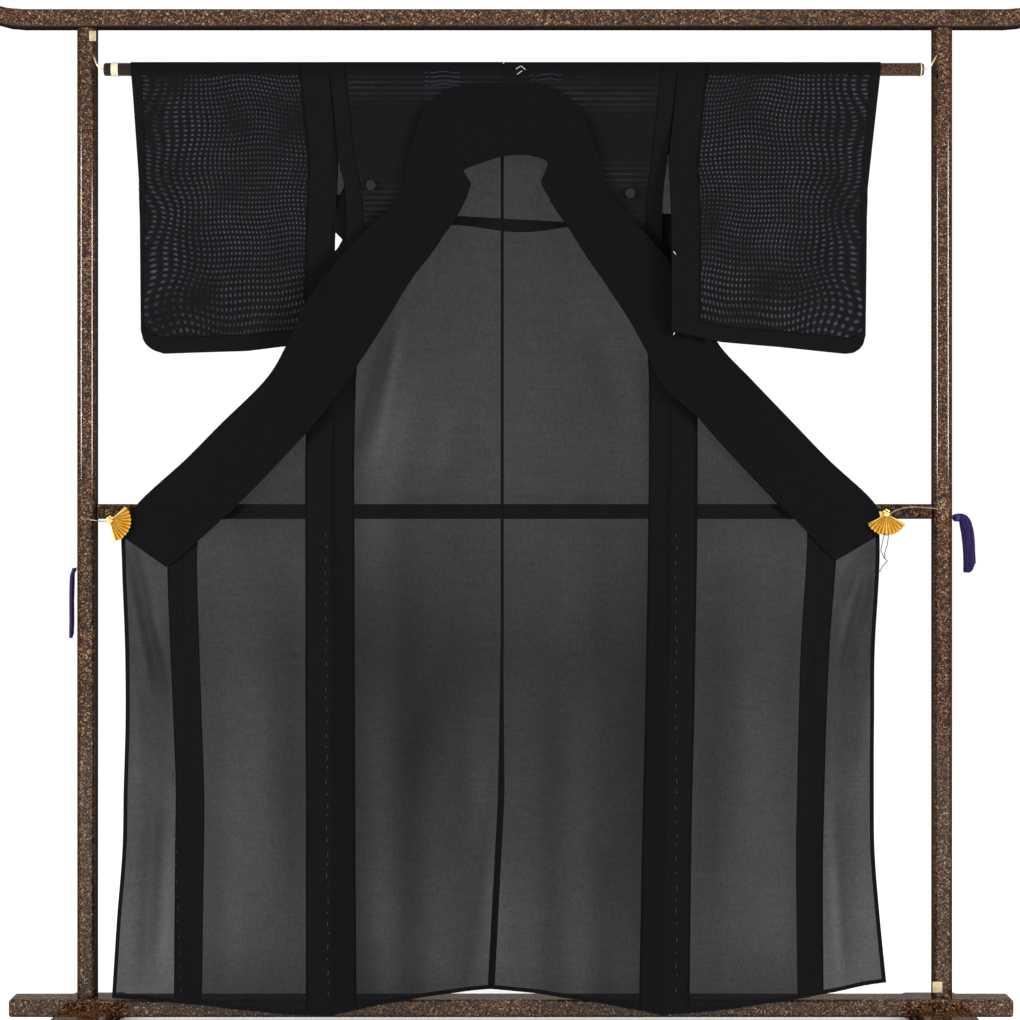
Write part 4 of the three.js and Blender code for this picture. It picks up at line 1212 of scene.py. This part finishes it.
# Small marks and threads on the cloth
ROUNDELS = [(-240, 1420, 8), (192.5, 1407, 8)]
NECK_STITCHES = [  # x from and to, height, how many rows below each other, step between
    (-150, -92, 1608, 4, 7), (26, 78, 1604, 2, 8), (-140, -125, 1566, 3, 8),
]
LOOSE_THREADS = [
    [(-22, -55, 1628), (-18, -56, 1633), (-14, -55, 1628), (-19, -55, 1622), (-22, -55, 1628)],
    [(2, -54, 1613), (10, -56, 1618), (18, -54, 1612)], [(4, -54, 1604), (12, -55, 1610)],
    [(-628, -42, 1424), (-625, -43, 1418), (-629, -43, 1413)],
    [(-627, -42, 1405), (-623, -43, 1402)],
    [(262, -90, 1306), (266, -91, 1301)], [(264, -90, 1172), (262, -91, 1168)],
    [(-570, -46, 445), (-569, -47, 425)], [(575, -47, 98), (590, -47, 86)],
]
CLIP_THREADS = [
    [(616, -56, 840), (612, -56, 828), (609, -56, 812), (614, -56, 800), (620, -56, 794)],
    [(622, -56, 838), (620, -56, 822), (615, -56, 806), (616, -56, 797)],
    [(620, -56, 794), (612, -56, 786), (607, -56, 776)],
]


ROUNDEL_TURNS = 20


def marks():
    vertices, faces = [], []
    for x, z, radius in ROUNDELS:
        start = len(vertices)
        y = panel_front("left" if x < 0 else "right", x, z) - 0.8
        vertices += [(px, y, pz) for px, pz in circle(x, z, radius, ROUNDEL_TURNS)]
        faces.append(tuple(range(start, start + ROUNDEL_TURNS))[::-1])
    add_piece("plain_roundels", vertices, faces, ROUNDEL, False)
    lines = []
    for x0, x1, z0, count, step in NECK_STITCHES:
        name = "left" if x0 < CENTRE_SEAM["x"][0] else "right"
        for k in range(count):
            x = x0 + 3 * sin(k * 2.1)
            while x < x1:
                z = z0 - step * k + 1.2 * sin(x / 7)
                y = min(panel_front(name, x, min(z, 1590)), -48.5) - 1.2
                lines.append([(x, y, z), (x + 5, y, z + 0.6)])
                x += 8 + 2 * sin(x)
    strands_piece("neck_stitches", lines, 0.4, GREY_THREAD)
    strands_piece("loose_threads", LOOSE_THREADS, 0.6, CREAM_THREAD)
    strands_piece("clip_threads", CLIP_THREADS, 0.8, PURPLE)


marks()

# Studio: a pale floor, a bright even sky, two tall soft lamps beside the viewer
def stage_floor():
    reach = 9000
    surface = Surface("pale_floor", Base_Color=(0.96, 0.96, 0.96), Roughness=0.9)
    corners = [(-reach, -reach, 0), (reach, -reach, 0), (reach, reach, 0), (-reach, reach, 0)]
    add_mesh("floor", corners, [(0, 1, 2, 3)], surface.material, False)


# Lamps: how far to each side, their distance and height, the point they face, size and power
LAMP = {"side": 5.5, "y": -3.2, "z": 1.65, "target": (0, 0, 1.1), "width": 1.6, "height": 1.2,
        "power": 450}


def soft_lamp(name, side):
    data = bpy.data.lights.new(name, "AREA")
    data.shape = "RECTANGLE"
    data.size, data.size_y, data.energy = LAMP["width"], LAMP["height"], LAMP["power"]
    lamp = new_object(name, data)
    lamp.location = (side * LAMP["side"], LAMP["y"], LAMP["z"])
    way = Vector(LAMP["target"]) - lamp.location
    lamp.rotation_euler = way.to_track_quat("-Z", "Y").to_euler()


stage_floor()
world = bpy.data.worlds.new("sky")
world.use_nodes = True
sky = world.node_tree.nodes["Background"].inputs
sky["Color"].default_value = (1, 1, 1, 1)
sky["Strength"].default_value = 1.05
bpy.context.scene.world = world
for side_name in SIGN:
    soft_lamp(f"lamp_{side_name}", SIGN[side_name])
bpy.context.scene.view_settings.view_transform = "Standard"

bpy.context.view_layer.update()
